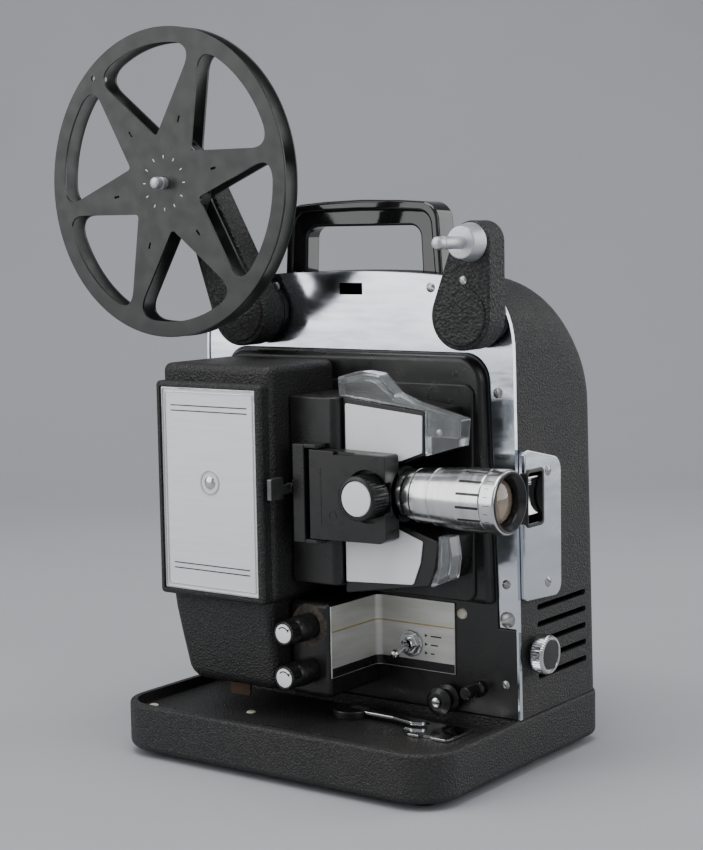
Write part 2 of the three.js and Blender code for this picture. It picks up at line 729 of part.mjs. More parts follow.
// Clear film chutes: walls with the film's channel between them, open at both ends.
const chuteFront = guideFront - 0.5;
const chuteBack = chuteFront + filmWidth + 1.8;
function upperChute() {
  const body = outline([
    [23.2, 209.5], [79.4, 203.6], [79.4, 179.6], [100.6, 185.8], [102.2, 200.1, 1.5],
    [72, 207.5, 8], [60, 212, 6], [49, 222.4, 6], [38, 223.6, 8], [22.6, 219.9, 1],
  ]);
  const film = outline([
    [110, 190], [110, 197.2], [72, 206.5, 6], [59, 210.9, 4], [47.9, 220.8, 5], [38, 221.8, 6],
    [20, 218.2], [20, 215.2], [38, 218.6, 6], [46.6, 217.6, 5], [58, 208.6, 4], [72, 205.3],
    [81, 202.9], [81, 190],
  ]);
  return slab('xz', body, chuteFront, chuteBack, 4)
    .subtract(slab('xz', film, chuteFront + 0.9, chuteBack - 0.9, 4));
}
place('upper_film_chute', upperChute(), finish.clear);

function lowerChute() {
  const body = outline([
    [87.2, 137.2], [93.9, 137.6, 1], [95.6, 126, 12], [93.6, 114.2, 3], [82.6, 109.6], [81.9, 110.6],
    [86.6, 121, 8],
  ]);
  const film = outline([
    [88.8, 140], [91.8, 140], [93.5, 126, 8], [91.6, 116.4, 2], [85.6, 113.6], [88.6, 122.5, 6],
  ]);
  return slab('xz', body, chuteFront, chuteBack, 4)
    .subtract(slab('xz', film, chuteFront + 0.9, chuteBack - 0.9, 4));
}
place('lower_film_chute', lowerChute(), finish.clear);

// ---- Lens carrier, on a hinge pin in front of the shutter housing ---------------------------
const pinRadius = 1.4;
const bracketBack = shutterFront - gap;
function hingeBracket() {
  const plate = box(2, hingeX - 6, carrierFront, bracketBack, carrierBottom - 2.6, carrierTop + 2.4);
  const ears = [carrierBottom - 2.6, carrierTop + 0.4].map(
    (z) => slab('xy', outline([[5, carrierFront + 0.5], [hingeX + 3, carrierFront + 0.5, 2],
      [hingeX + 3, bracketBack, 2], [5, bracketBack]]), z, z + 2.1));
  const pin = bar('z', pinRadius, carrierBottom - 2, carrierTop + 2, [hingeX, hingeY, 0], 16);
  return join(plate, ...ears, pin);
}
place('lens_hinge_bracket', hingeBracket(), finish.smoothBlack);

const knobX = 52;
const knobRadius = 12.3;
const knobFront = -70.3;
const recessBack = -54.6;
function lensCarrier() {
  const face = outline([
    [hingeX - 2.6, carrierBottom], [60, carrierBottom + 1, 1.5], [carrierRight, carrierBottom + 3, 1.5],
    [carrierRight, carrierTop - 1.2, 1.5], [hingeX - 2.6, carrierTop - 0.2],
  ]);
  const block = slab('xz', face, carrierFront, carrierBack)
    .subtract(box(0, shutterRight + 1.2, bracketBack - 0.5, 0, 0, 300))
    .subtract(box(0, hingeX + 3, bracketBack - 1.6, 0, 0, 300));
  const sleeve = bar('x', 15.2, guideLeft + 2.5, carrierRight, [0, lightY, lightZ], 32);
  const recess = bar('y', knobRadius + 2.2, -90, recessBack, [knobX, 0, lightZ], 32);
  const bore = bar('x', tubeRadius + gap, 0, carrierRight + 20, [0, lightY, lightZ], 32);
  const pinBore = bar('z', pinRadius + gap, 0, 300, [hingeX, hingeY, 0], 16);
  return join(block, sleeve).subtract(recess).subtract(bore).subtract(pinBore);
}
place('lens_carrier', lensCarrier(), finish.smoothBlack);

place('focus_knob', turned('y', [
  [0, knobFront], [knobRadius - 1.2, knobFront], [knobRadius, knobFront + 1.2],
  [knobRadius, recessBack - gap - 1], [knobRadius - 1, recessBack - gap], [0, recessBack - gap],
], [knobX, 0, lightZ], 24), finish.smoothBlack);

const tubeRear = 32;
const tubeBore = tubeRadius - 2;
const ringBack = lensFront - 9.5;
function lensBarrel() {
  return turned('x', [
    [tubeBore, tubeRear], [tubeRadius, tubeRear], [tubeRadius, lensShoulder], [14, lensShoulder + 2],
    [14.7, lensShoulder + 5], [14.8, lensShoulder + 6.7], [14.3, lensShoulder + 7],
    [14.9, lensShoulder + 7.4], [15.6, lensShoulder + 19], [17, lensShoulder + 40],
    [17, ringBack - gap], [12.6, ringBack - gap], [tubeBore, ringBack - 12],
    [tubeBore, tubeRear],
  ], [0, lightY, lightZ], 28);
}
place('lens_barrel', lensBarrel(), finish.chrome);

const glassBack = lensFront - 7.5;
place('lens_front_ring', turned('x', [
  [12.2, ringBack], [lensRadius, ringBack], [lensRadius, lensFront - 1.6], [16.2, lensFront],
  [15, lensFront], [12.2, glassBack + 3.6], [12.2, ringBack],
], [0, lightY, lightZ], 28), finish.smoothBlack);
place('lens_glass', turned('x', [
  [0, glassBack], [11.9, glassBack], [11.9, glassBack + 1.6], [8, glassBack + 2.7], [4, glassBack + 3.3],
  [0, glassBack + 3.5],
], [0, lightY, lightZ], 20), finish.glass);

// Selector lever between the lamp house and the lens carrier.
const leverX = -4;
const leverY = -53.6;
const tabEdges = [-73.3, -62.4, lightZ - 4.8, lightZ + 7.2];
function selectorLever() {
  const drum = bar('x', 3, leverX - 2.2, leverX + 2.4, [0, leverY, lightZ], 20);
  const [y0, y1, z0, z1] = tabEdges;
  const blade = outline([
    [leverY, lightZ - 2.6], [y1, lightZ - 2.6], [y1, z0], [y0, z0, 1], [y0, z1, 1], [y1, z1, 1],
    [y1, lightZ + 2.6], [leverY, lightZ + 2.6],
  ]);
  return join(drum, slab('yz', blade, leverX - 1.4, leverX + 1.6));
}
place('selector_lever', selectorLever(), finish.smoothBlack);

// ---- Controls under the film gear ---------------------------------------------------------
function knobBracket() {
  const back = skirtFace - gap;
  const block = softBox(-12.2, bracketRight, bracketFront, back + 20, 40, lowerTop, 3)
    .intersect(box(-200, 200, -200, back, 0, 400));
  return block.subtract(box(-9.6, bracketRight - 2.6, bracketFront + 2.6, 10, 43, lowerTop - 2.6));
}
place('knob_bracket', knobBracket(), finish.smoothBlack);

controlZ.forEach((z, n) => {
  place(['upper_control_knob', 'lower_control_knob'][n], turned('y', [
    [0, -70.8], [6.2, -70.8], [6.9, -70], [6.9, -62.4], [5.8, -61.8], [7.2, -59.5], [7.6, -55],
    [7.2, bracketFront - gap], [0, bracketFront - gap],
  ], [controlX, 0, z], 16), finish.smoothBlack);
});

const labelX = bracketRight + gap;
const labelSheet = 0.8;
const labelTop = 92;
const labelBottom = 51.5;
const labelRight = 69;
const toggleX = 39.7;
const toggleZ = 66;
function labelPanel() {
  const back = skirtFace - gap;
  return join(
    box(labelX, labelX + labelSheet, bracketFront + 0.5, back, labelBottom, labelTop),
    box(labelX, labelRight, back - labelSheet, back, labelBottom, labelTop),
  ).subtract(bar('y', 3.4, -10, 10, [toggleX, 0, toggleZ], 16));
}
place('label_panel', labelPanel(), finish.label);

const nutFront = -5.6;
function toggleNut() {
  const back = skirtFace - gap - labelSheet - gap;
  const washer = bar('y', 7.6, back - 1, back, [toggleX, 0, toggleZ], 16);
  const nut = bar('y', 6.4, nutFront, back, [toggleX, 0, toggleZ], 6);
  const bush = bar('y', 4, nutFront - 2, back, [toggleX, 0, toggleZ], 12);
  const mouth = turned('y', [[0, -5.2], [1.6, -5.2], [3.4, nutFront - 3], [0, nutFront - 3]],
    [toggleX, 0, toggleZ], 12);
  return join(washer, nut, bush).subtract(mouth);
}
place('toggle_nut', toggleNut(), finish.chrome);

const toggleDown = 13;           // degrees below level at rest
const toggle = new THREE.Group();
toggle.position.set(toggleX, -5.6, toggleZ);
toggle.rotation.x = THREE.MathUtils.degToRad(toggleDown);
model.add(toggle);
place('toggle_lever', turned('y', [
  [0, -15.6], [1.8, -15], [2.6, -13.2], [2.3, -11], [1.5, -7], [1.2, -0.8], [0.8, 0], [0, 0.1],
], [0, 0, 0], 12), finish.chrome, toggle);

// Film roller, its axle and the post beside it.
const rollerX = 65.5;
const rollerZ = 38.4;
const postX = 84;
const postZ = 45.5;
place('roller_axle', turned('y', [
  [0, -17.8], [2.8, -17.4], [2.8, -16.6], [2, -16.6], [2, -1.3], [0, -1.3],
], [rollerX, 0, rollerZ], 12), finish.chrome);
place('film_roller', turned('y', [
  [2.3, -15.9], [5.2, -15.9], [7.9, -13.9], [7.9, -12.9], [5.6, -12], [5.6, -6.6], [7.9, -5.4],
  [7.9, -4.2], [5, -3.4], [2.3, -3.4], [2.3, -15.9],
], [rollerX, 0, rollerZ], 16), finish.smoothBlack);
place('guide_post', turned('y', [
  [0, -16], [3, -16], [3.6, -15.2], [3.4, -4.6], [4.8, -3.4], [4.8, -1.3], [0, -1.3],
], [postX, 0, postZ], 12), finish.smoothBlack);

// ---- Reel arms ------------------------------------------------------------------------------
// Drawn upright with the pivot at the group's origin, then leaned outwards.
function armGroup(pivotX, lean) {
  const group = new THREE.Group();
  group.position.set(pivotX, 0, armPivotZ);
  group.rotation.y = THREE.MathUtils.degToRad(lean);
  model.add(group);
  return group;
}

function armSolid(length, lobe, tip) {
  const rise = Math.asin((lobe - tip) / length);
  const shape = new THREE.Shape();
  shape.absarc(0, 0, lobe, Math.PI - rise, rise, false);
  shape.absarc(0, length, tip, rise, Math.PI - rise, false);
  shape.closePath();
  const upper = slab('xz', shape, armBack - armThickness, armBack, 12, 1.6);
  return upper.add(bar('y', lobe - 2.4, armBack - armThickness - 1.2, armBack - 2, [0, 0, 0], 24));
}

const armFront = armBack - armThickness;
function spindleSolid(length) {
  return turned('y', [
    [0, spindleTip], [spindlePin - 1, spindleTip], [spindlePin, spindleTip + 1.4],
    [spindlePin, -32], [8.2, -32], [8.8, -31.2], [10.4, armFront - gap - 1], [10.4, armFront - gap],
    [0, armFront - gap],
  ], [0, 0, length], 18);
}

const bossBack = -gap;
for (const [side, pivotX, length, lean, lobe, tip] of [
  ['supply', supplyPivotX, supplyArmLength, supplyArmLean, 18.5, 11.4],
  ['take_up', takeUpPivotX, takeUpArmLength, -takeUpArmLean, 19.3, 12],
]) {
  const arm = armGroup(pivotX, lean);
  const boss = bar('y', lobe - 2.5, armBack + gap, bossBack, [0, 0, 0], 28);
  place(`${side}_arm_boss`, boss, finish.smoothBlack, arm);
  place(`${side}_arm`, armSolid(length, lobe, tip), finish.wrinkle, arm);
  place(`${side}_spindle`, spindleSolid(length), finish.chrome, arm);
}

// ---- Reel on the take-up spindle --------------------------------------------------------------
const leanAngle = THREE.MathUtils.degToRad(takeUpArmLean);
const reelX = takeUpPivotX - takeUpArmLength * Math.sin(leanAngle);
const reelZ = armPivotZ + takeUpArmLength * Math.cos(leanAngle);
const reel = new THREE.Group();
reel.position.set(reelX, 0, reelZ);
model.add(reel);
const reelBore = spindlePin + gap;
const spokeAngle = THREE.MathUtils.degToRad(11);
const windowOuter = 80;
const windowInner = 27;
const spokeNeck = 68;            // where the spokes are narrowest

// One of six windows between the spokes, which narrow towards the rim: a blunt point near
// the core and an arc near the rim.
function reelWindow(turn) {
  const shape = new THREE.Shape();
  const at = (radius, degrees) => {
    const angle = turn + THREE.MathUtils.degToRad(degrees);
    return [radius * Math.cos(angle), radius * Math.sin(angle)];
  };
  const arcHalf = THREE.MathUtils.degToRad(19);
  shape.moveTo(...at(windowInner + 2.4, -3.8));
  shape.quadraticCurveTo(...at(windowInner, 0), ...at(windowInner + 2.4, 3.8));
  shape.lineTo(...at(spokeNeck, 26));
  shape.quadraticCurveTo(...at(windowOuter, 28), ...at(windowOuter, 19));
  shape.absarc(0, 0, windowOuter, turn + arcHalf, turn - arcHalf, true);
  shape.quadraticCurveTo(...at(windowOuter, -28), ...at(spokeNeck, -26));
  shape.closePath();
  return shape;
}

function flange() {
  let disc = bar('y', reelRadius, -flangeThickness / 2, flangeThickness / 2, [0, 0, 0], 60);
  for (let n = 0; n < 6; n += 1) {
    const turn = spokeAngle + (n + 0.5) * (Math.PI / 3);
    disc = disc.subtract(slab('xz', reelWindow(turn), -5, 5, 4));
  }
  return disc.subtract(bar('y', reelBore, -5, 5, [0, 0, 0], 20));
}

const frontMiddle = reelFront + flangeThickness / 2;
const rearMiddle = frontMiddle + flangeThickness + reelInnerWidth;
place('reel_front_flange', flange(), finish.glossBlack, reel).position.y = frontMiddle;
place('reel_rear_flange', flange(), finish.glossBlack, reel).position.y = rearMiddle;
const coreFrom = reelFront + flangeThickness + gap;
const coreTo = reelFront + flangeThickness + reelInnerWidth - gap;
place('reel_core', turned('y', [
  [reelBore, coreFrom], [reelCore, coreFrom], [reelCore, coreTo], [reelBore, coreTo], [reelBore, coreFrom],
], [0, 0, 0], 36), finish.glossBlack, reel);

// ---- Origin: middle of the box's underside ------------------------------------------------------
const projector = new THREE.Group();
projector.add(model);
projector.updateMatrixWorld(true);
const extent = new THREE.Box3().setFromObject(model, true);
const middle = extent.getCenter(new THREE.Vector3());
model.position.set(-middle.x, -middle.y, -extent.min.z);

export default projector;
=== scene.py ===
import json
import math

import bmesh
import bpy
from mathutils import Matrix, Vector


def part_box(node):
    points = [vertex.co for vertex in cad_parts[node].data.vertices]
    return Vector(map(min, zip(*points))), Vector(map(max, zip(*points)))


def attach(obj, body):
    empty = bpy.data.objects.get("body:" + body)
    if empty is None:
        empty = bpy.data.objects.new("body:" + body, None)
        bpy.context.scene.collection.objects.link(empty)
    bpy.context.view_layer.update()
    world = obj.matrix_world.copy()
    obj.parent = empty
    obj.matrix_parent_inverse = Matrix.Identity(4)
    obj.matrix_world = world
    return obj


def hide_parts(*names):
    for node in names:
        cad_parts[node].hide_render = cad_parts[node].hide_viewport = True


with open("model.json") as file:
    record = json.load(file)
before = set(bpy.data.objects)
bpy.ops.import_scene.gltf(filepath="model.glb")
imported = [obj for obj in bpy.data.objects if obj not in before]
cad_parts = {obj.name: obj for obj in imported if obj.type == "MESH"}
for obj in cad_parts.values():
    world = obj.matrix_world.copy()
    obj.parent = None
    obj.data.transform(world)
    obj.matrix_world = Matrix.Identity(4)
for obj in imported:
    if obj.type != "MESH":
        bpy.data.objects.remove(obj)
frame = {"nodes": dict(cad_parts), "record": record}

# The pieces are drawn in millimetres in the case's own frame: x = 0 on its centre line,
# y = 0 on the face of the bright trim plate, z = 0 on the table. The studio is in metres.
MM = 0.001
SHARP = math.radians(40)
SMOOTH_BELOW = math.radians(32)
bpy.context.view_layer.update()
RECORD = frame["record"]
BODY = {node: body for body, nodes in RECORD["behaviour"]["bodies"].items() for node in nodes}
SLOT = {part["node"]: part["material_slot"] for part in RECORD["subparts"]}
trim_low, trim_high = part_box("trim_plate")
HOME = Vector(((trim_low.x + trim_high.x) / 2, trim_low.y, 0))
TO_ROW = Matrix.Translation(HOME) @ Matrix.Scale(MM, 4)
replaced = set()

# ---- Outlines ---------------------------------------------------------------------------


def fillet(corners, steps=6):
    """Points of a closed outline from corners (u, v, radius), rounded by true arcs."""
    points = []
    for i, corner in enumerate(corners):
        here = Vector(corner[:2])
        radius = corner[2] if len(corner) > 2 else 0
        if radius <= 0:
            points.append((here.x, here.y))
            continue
        back = Vector(corners[i - 1][:2]) - here
        ahead = Vector(corners[(i + 1) % len(corners)][:2]) - here
        half = back.angle(ahead) / 2
        reach = min(radius / math.tan(half), 0.48 * back.length, 0.48 * ahead.length)
        radius = reach * math.tan(half)
        to_centre = (back.normalized() + ahead.normalized()).normalized()
        centre = here + to_centre * (radius / math.sin(half))
        start = here + back.normalized() * reach - centre
        end = here + ahead.normalized() * reach - centre
        first = math.atan2(start.y, start.x)
        sweep = math.remainder(math.atan2(end.y, end.x) - first, math.tau)
        for step in range(steps + 1):
            angle = first + sweep * step / steps
            points.append((centre.x + radius * math.cos(angle), centre.y + radius * math.sin(angle)))
    return points


def rectangle(u0, u1, v0, v1, radius):
    return fillet([(u0, v0, radius), (u1, v0, radius), (u1, v1, radius), (u0, v1, radius)])


def arc(u, v, radius, start, end, steps=12):
    """Points on an arc from one angle to another, in degrees."""
    angles = [math.radians(start + (end - start) * n / steps) for n in range(steps + 1)]
    return [(u + radius * math.cos(a), v + radius * math.sin(a)) for a in angles]


def bezier(start, corner, end, steps=12):
    points = []
    for n in range(steps + 1):
        t = n / steps
        points.append(tuple((1 - t) ** 2 * a + 2 * t * (1 - t) * c + t * t * b
                            for a, c, b in zip(start, corner, end)))
    return points


# ---- Meshes -----------------------------------------------------------------------------
PLANES = {
    "xz": lambda u, v, w: (u, w, v),
    "yz": lambda u, v, w: (w, u, v),
    "xy": lambda u, v, w: (u, v, w),
}
AXES = {
    "x": lambda a, b, along: (along, a, b),
    "y": lambda a, b, along: (a, along, b),
    "z": lambda a, b, along: (a, b, along),
}


def made(verts, faces, soft=0.0, steps=2):
    """A closed mesh with its sharp edges rounded by soft."""
    shape = bmesh.new()
    points = [shape.verts.new(v) for v in verts]
    for face in faces:
        shape.faces.new([points[i] for i in face])
    bmesh.ops.remove_doubles(shape, verts=shape.verts, dist=1e-4)
    bmesh.ops.recalc_face_normals(shape, faces=shape.faces)
    if soft:
        edges = [e for e in shape.edges
                 if len(e.link_faces) == 2 and e.calc_face_angle() > SHARP]
        bmesh.ops.bevel(shape, geom=edges, offset=soft, segments=steps, profile=0.5,
                        affect="EDGES", clamp_overlap=True)
    mesh = bpy.data.meshes.new("shape")
    shape.to_mesh(mesh)
    shape.free()
    return mesh


def slab(plane, outline, start, end, soft=0.0, steps=2):
    """An outline given depth from start to end across its plane."""
    n = len(outline)
    verts = [PLANES[plane](u, v, w) for w in (start, end) for u, v in outline]
    sides = [(i, (i + 1) % n, n + (i + 1) % n, n + i) for i in range(n)]
    return made(verts, [range(n), range(n, 2 * n)] + sides, soft, steps)


def box(x0, x1, y0, y1, z0, z1, soft=0.0, steps=3):
    return slab("xy", [(x0, y0), (x1, y0), (x1, y1), (x0, y1)], z0, z1, soft, steps)


def loft(rings):
    """A solid through rings of 3-D points, with flat ends."""
    n = len(rings[0])
    faces = [range(n), range((len(rings) - 1) * n, len(rings) * n)]
    for k in range(len(rings) - 1):
        faces += [(k * n + i, k * n + (i + 1) % n, (k + 1) * n + (i + 1) % n, (k + 1) * n + i)
                  for i in range(n)]
    return made([p for ring in rings for p in ring], faces)


def turned(axis, profile, centre, segments=48, flutes=0):
    """A turned piece: profile points (radius, along, flute depth) about a line through centre."""
    cx, cy, cz = centre
    verts = []
    for radius, along, *depth in profile:
        for k in range(segments):
            angle = math.tau * k / segments
            dip = depth[0] * (0.5 - 0.5 * math.cos(flutes * angle)) if depth else 0
            x, y, z = AXES[axis]((radius - dip) * math.cos(angle), (radius - dip) * math.sin(angle), along)
            verts.append((x + cx, y + cy, z + cz))
    faces = []
    for ring in range(len(profile) - 1):
        for k in range(segments):
            a, b = ring * segments + k, ring * segments + (k + 1) % segments
            faces.append((a, b, b + segments, a + segments))
    return made(verts, faces)


def bar(axis, radius, start, end, centre, segments=32):
    return turned(axis, [(0, start), (radius, start), (radius, end), (0, end)], centre, segments)


def join(*meshes):
    """Several meshes as one, each still its own shell."""
    shape = bmesh.new()
    for mesh in meshes:
        shape.from_mesh(mesh)
    whole = bpy.data.meshes.new("joined")
    shape.to_mesh(whole)
    shape.free()
    return whole


def turn(mesh, degrees, axis, about=(0, 0, 0)):
    """The mesh turned about a line through a point."""
    there = Matrix.Translation(about)
    mesh.transform(there @ Matrix.Rotation(math.radians(degrees), 4, axis) @ there.inverted())
    return mesh


def cut(mesh, *tools):
    """The mesh with the tools' solids taken away."""
    target = bpy.data.objects.new("target", mesh)
    tool = bpy.data.objects.new("tool", join(*tools))
    for obj in (target, tool):
        bpy.context.scene.collection.objects.link(obj)
    boolean = target.modifiers.new("cut", "BOOLEAN")
    boolean.solver = "EXACT"
    boolean.use_self = len(tools) > 1
    boolean.object = tool
    bpy.context.view_layer.update()
    seen = target.evaluated_get(bpy.context.evaluated_depsgraph_get())
    result = bpy.data.meshes.new_from_object(seen)
    bpy.data.objects.remove(target)
    bpy.data.objects.remove(tool)
    return result


def screw(axis, side, centre, radius, height=1.0, slot_at=30):
    """A domed slotted screw head that stands out towards side on its axis."""
    dome = [(0, height), (radius * 0.45, height * 0.93), (radius * 0.8, height * 0.68),
            (radius, height * 0.25), (radius, -0.4), (0, -0.4)]
    head = turned(axis, [(r, side * a) for r, a in dome], (0, 0, 0), 28)
    low, high = sorted((side * height * 0.3, side * height * 2))
    half = 0.17 * radius
    blade = {"x": (low, high, -9, 9, -half, half), "y": (-9, 9, low, high, -half, half)}
    head = cut(head, turn(box(*blade[axis]), slot_at, axis.upper()))
    head.transform(Matrix.Translation(centre))
    return head


def piece(name, mesh, look, node, stands_for=True, soft=0.0):
    """Shows the mesh, riding on its CAD node's body and, if stands_for, in that node's place."""
    mesh.transform(TO_ROW)
    mesh.shade_smooth()
    mesh.set_sharp_from_angle(angle=SMOOTH_BELOW)
    mesh.materials.clear()
    mesh.materials.append(look)
    obj = bpy.data.objects.new(name, mesh)
    bpy.context.scene.collection.objects.link(obj)
    if soft:
        edge = obj.modifiers.new("edges", "BEVEL")
        edge.width = soft * MM
        edge.segments = 2
        edge.limit_method = "ANGLE"
        edge.angle_limit = SHARP
    obj.modifiers.new("normals", "WEIGHTED_NORMAL").keep_sharp = True
    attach(obj, BODY[node])
    if stands_for:
        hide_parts(node)
        replaced.add(node)
    return obj


# ---- Looks ------------------------------------------------------------------------------


class Look:
    """A material drawn with nodes in the object's own coordinates, which are in metres."""

    def __init__(self, name, **settings):
        self.material = bpy.data.materials.new(name)
        self.material.use_nodes = True
        self.tree = self.material.node_tree
        self.shader = self.tree.nodes["Principled BSDF"]
        self.where = self.tree.nodes.new("ShaderNodeTexCoord").outputs["Object"]
        for socket, value in settings.items():
            self.shader.inputs[socket.replace("_", " ")].default_value = value

    def fed(self, kind, **feeds):
        """A new node whose inputs are set to numbers or linked to other nodes' outputs."""
        node = self.tree.nodes.new(kind)
        for socket, feed in feeds.items():
            target = node.inputs[socket.replace("_", " ")]
            if isinstance(feed, bpy.types.NodeSocket):
                self.tree.links.new(feed, target)
            else:
                target.default_value = feed
        return node

    def noise(self, scale, detail=3.0, stretch=(1, 1, 1)):
        place = self.fed("ShaderNodeMapping", Vector=self.where, Scale=stretch)
        return self.fed("ShaderNodeTexNoise", Vector=place.outputs[0], Scale=scale, Detail=detail).outputs[0]

    def cells(self, scale):
        return self.fed("ShaderNodeTexVoronoi", Vector=self.where, Scale=scale).outputs[0]

    def span(self, value, low, high, to_low, to_high):
        """The value's range low..high spread over to_low..to_high, held at the ends."""
        node = self.fed("ShaderNodeMapRange", Value=value)
        for socket, number in zip(node.inputs[1:5], (low, high, to_low, to_high)):
            socket.default_value = number
        return node.outputs[0]

    def mix(self, factor, first, second):
        node = self.tree.nodes.new("ShaderNodeMix")
        node.data_type = "RGBA"
        for socket, feed in zip((node.inputs[0], node.inputs[6], node.inputs[7]), (factor, first, second)):
            if isinstance(feed, bpy.types.NodeSocket):
                self.tree.links.new(feed, socket)
            else:
                socket.default_value = feed
        return node.outputs[2]

    def drive(self, socket, output):
        self.tree.links.new(output, self.shader.inputs[socket])

    def relief(self, height, depth, strength=1.0):
        """Bumps of a depth in millimetres."""
        bump = self.fed("ShaderNodeBump", Height=height, Distance=depth * MM, Strength=strength)
        self.drive("Normal", bump.outputs[0])


def grey(value, warm=0.0):
    return (value * (1 + warm), value, value * (1 - warm), 1)


def finish(name, colour, worn, rough, patch=60, grain=900, depth=0.02, stretch=(1, 1, 1), **settings):
    """A surface whose colour and gloss wander over patches, with a fine grain in relief."""
    look = Look(name, **settings)
    patches = look.noise(patch, 4, stretch)
    look.drive("Base Color", look.mix(look.span(patches, 0.4, 0.7, 0, 1), colour, worn))
    look.drive("Roughness", look.span(look.noise(patch * 3, 3, stretch), 0.35, 0.65, *rough))
    look.relief(look.noise(grain, 2, stretch), depth)
    return look.material


def wrinkle(name, size, depth, colour, ridge_sheen):
    """Wrinkle enamel: small rounded ridges with duller valleys between them; the ridges get a lighter colour
    as painted sheen.
    """
    look = Look(name)
    ridges = look.noise(1 / (size * MM), 2.5)
    lumps = look.cells(0.8 / (size * MM))
    height = look.fed("ShaderNodeMath", Value=ridges).outputs[0]
    look.tree.links.new(lumps, height.node.inputs[1])
    age = look.noise(14, 3)
    # painted sheen: the ridge crests get a lighter colour that stands in for the light they catch
    tone = look.mix(look.span(ridges, 0.42, 0.62, 0, 1), colour, ridge_sheen)
    dusty = look.mix(look.span(age, 0.5, 0.72, 0, 0.4), tone, (0.032, 0.028, 0.024, 1))
    look.drive("Base Color", dusty)
    look.drive("Roughness", look.span(ridges, 0.4, 0.65, 0.62, 0.42))
    look.relief(height, depth)
    return look.material


# the last grey of each wrinkle enamel is the lighter painted sheen on its ridges
WRINKLE = wrinkle("wrinkle_enamel", 0.95, 0.45, grey(0.006), grey(0.021, 0.03))
COARSE = wrinkle("coarse_wrinkle_enamel", 1.35, 0.62, grey(0.006), grey(0.022, 0.03))
SMOOTH = finish("smooth_black_enamel", grey(0.008), grey(0.013, 0.05), (0.26, 0.4), 40, 700, 0.03)
GLOSS = finish("gloss_black", grey(0.006), grey(0.008), (0.05, 0.12), 30, 300, 0.01, Coat_Weight=0.4)
REEL = finish("reel_enamel", (0.013, 0.015, 0.014, 1), (0.018, 0.020, 0.018, 1), (0.3, 0.42), 35, 1200, 0.02)
PLASTIC = finish("moulded_black", grey(0.008), grey(0.012, 0.04), (0.24, 0.38), 80, 900, 0.02)
DARK_SATIN = finish("dark_satin_metal", grey(0.10), grey(0.16), (0.32, 0.45), 90, 1500, 0.01, Metallic=0.8)
POLISHED = finish("polished_aluminium", (0.70, 0.73, 0.78, 1), (0.62, 0.66, 0.72, 1), (0.1, 0.2), 14, 900,
                  0.0015, (1, 1, 5), Metallic=1.0)
PANEL = finish("panel_silver", (0.84, 0.85, 0.87, 1), (0.79, 0.80, 0.82, 1), (0.36, 0.48), 30, 1400, 0.008,
               (1, 1, 14), Metallic=0.35)
SATIN = finish("satin_silver", (0.60, 0.61, 0.63, 1), (0.54, 0.56, 0.58, 1), (0.34, 0.46), 30, 1400, 0.012,
               (1, 1, 14), Metallic=0.75)
WHITE = finish("white_enamel", (0.88, 0.88, 0.89, 1), (0.82, 0.82, 0.82, 1), (0.36, 0.5), 50, 900, 0.01)
LABEL = finish("label_sheet", (0.66, 0.66, 0.63, 1), (0.55, 0.54, 0.49, 1), (0.34, 0.5), 24, 1200, 0.008,
               (1, 1, 6), Metallic=0.55)
BARREL = finish("satin_chrome", grey(0.74), grey(0.62), (0.16, 0.26), 40, 1200, 0.0015, (6, 1, 1),
                Metallic=1.0)
CHROME = finish("chrome", grey(0.72), grey(0.60), (0.07, 0.2), 45, 600, 0.004, Metallic=1.0)
STEEL = finish("turned_steel", grey(0.46), grey(0.36, 0.03), (0.28, 0.42), 60, 1500, 0.01, Metallic=1.0)
MOTOR = finish("motor_enamel", (0.10, 0.11, 0.12, 1), (0.07, 0.075, 0.08, 1), (0.4, 0.55), 50, 800, 0.03)
RUBBER = finish("rubber", grey(0.016), grey(0.028, 0.05), (0.7, 0.9), 90, 1200, 0.05)
CREAM = finish("cream_plastic", (0.66, 0.62, 0.50, 1), (0.52, 0.48, 0.38, 1), (0.35, 0.5), 300, 1500, 0.01)
DUST = finish("dusty_enamel", (0.085, 0.068, 0.052, 1), (0.02, 0.018, 0.016, 1), (0.7, 0.9), 420, 900, 0.1)
BROWN = finish("brown_fibre", (0.10, 0.042, 0.018, 1), (0.06, 0.026, 0.012, 1), (0.5, 0.7), 120, 900, 0.06)
BRASS = finish("gilt_marks", (0.55, 0.40, 0.17, 1), (0.42, 0.30, 0.12, 1), (0.3, 0.45), 200, 1500, 0.01,
               Metallic=0.7)
CLEAR = finish("clear_plastic", (0.86, 0.89, 0.89, 1), (0.72, 0.74, 0.74, 1), (0.04, 0.22), 60, 500, 0.03,
               Transmission_Weight=0.94, IOR=1.46)
GLASS = finish("coated_glass", (0.62, 0.48, 0.36, 1), (0.55, 0.44, 0.34, 1), (0.02, 0.06), 60, 300, 0.002,
               Transmission_Weight=0.75, IOR=1.52, Coat_Weight=0.6)
LAMP = finish("lamp_glass", (0.88, 0.91, 0.92, 1), (0.8, 0.83, 0.85, 1), (0.02, 0.08), 60, 300, 0.004,
              Transmission_Weight=0.92, IOR=1.5)

# ---- Case -------------------------------------------------------------------------------
FOOT = 30.9
SHOULDER = 42.0
CASE_HALF = 110.5
CASE_TOP = 273.6
CASE_DEPTH = 90
TOP_ROUNDING = 64
SIDE_ROUNDING = 12
COVER_WALL = 2.5
VENTS = 5
VENT_TOP = 91.8
VENT_PITCH = 9.7
VENT_HEIGHT = 3.3
VENT_FRONT = 19.5
VENT_BACK = 73.7
BASE_HALF = 111.5
BASE_FRONT = -88
BASE_BACK = 91.5
FRONT_CORNER = 24
BACK_CORNER = 13
SIDE_KNOB = (0, 16, 65.5)
AXIS = (0, -40, 158)


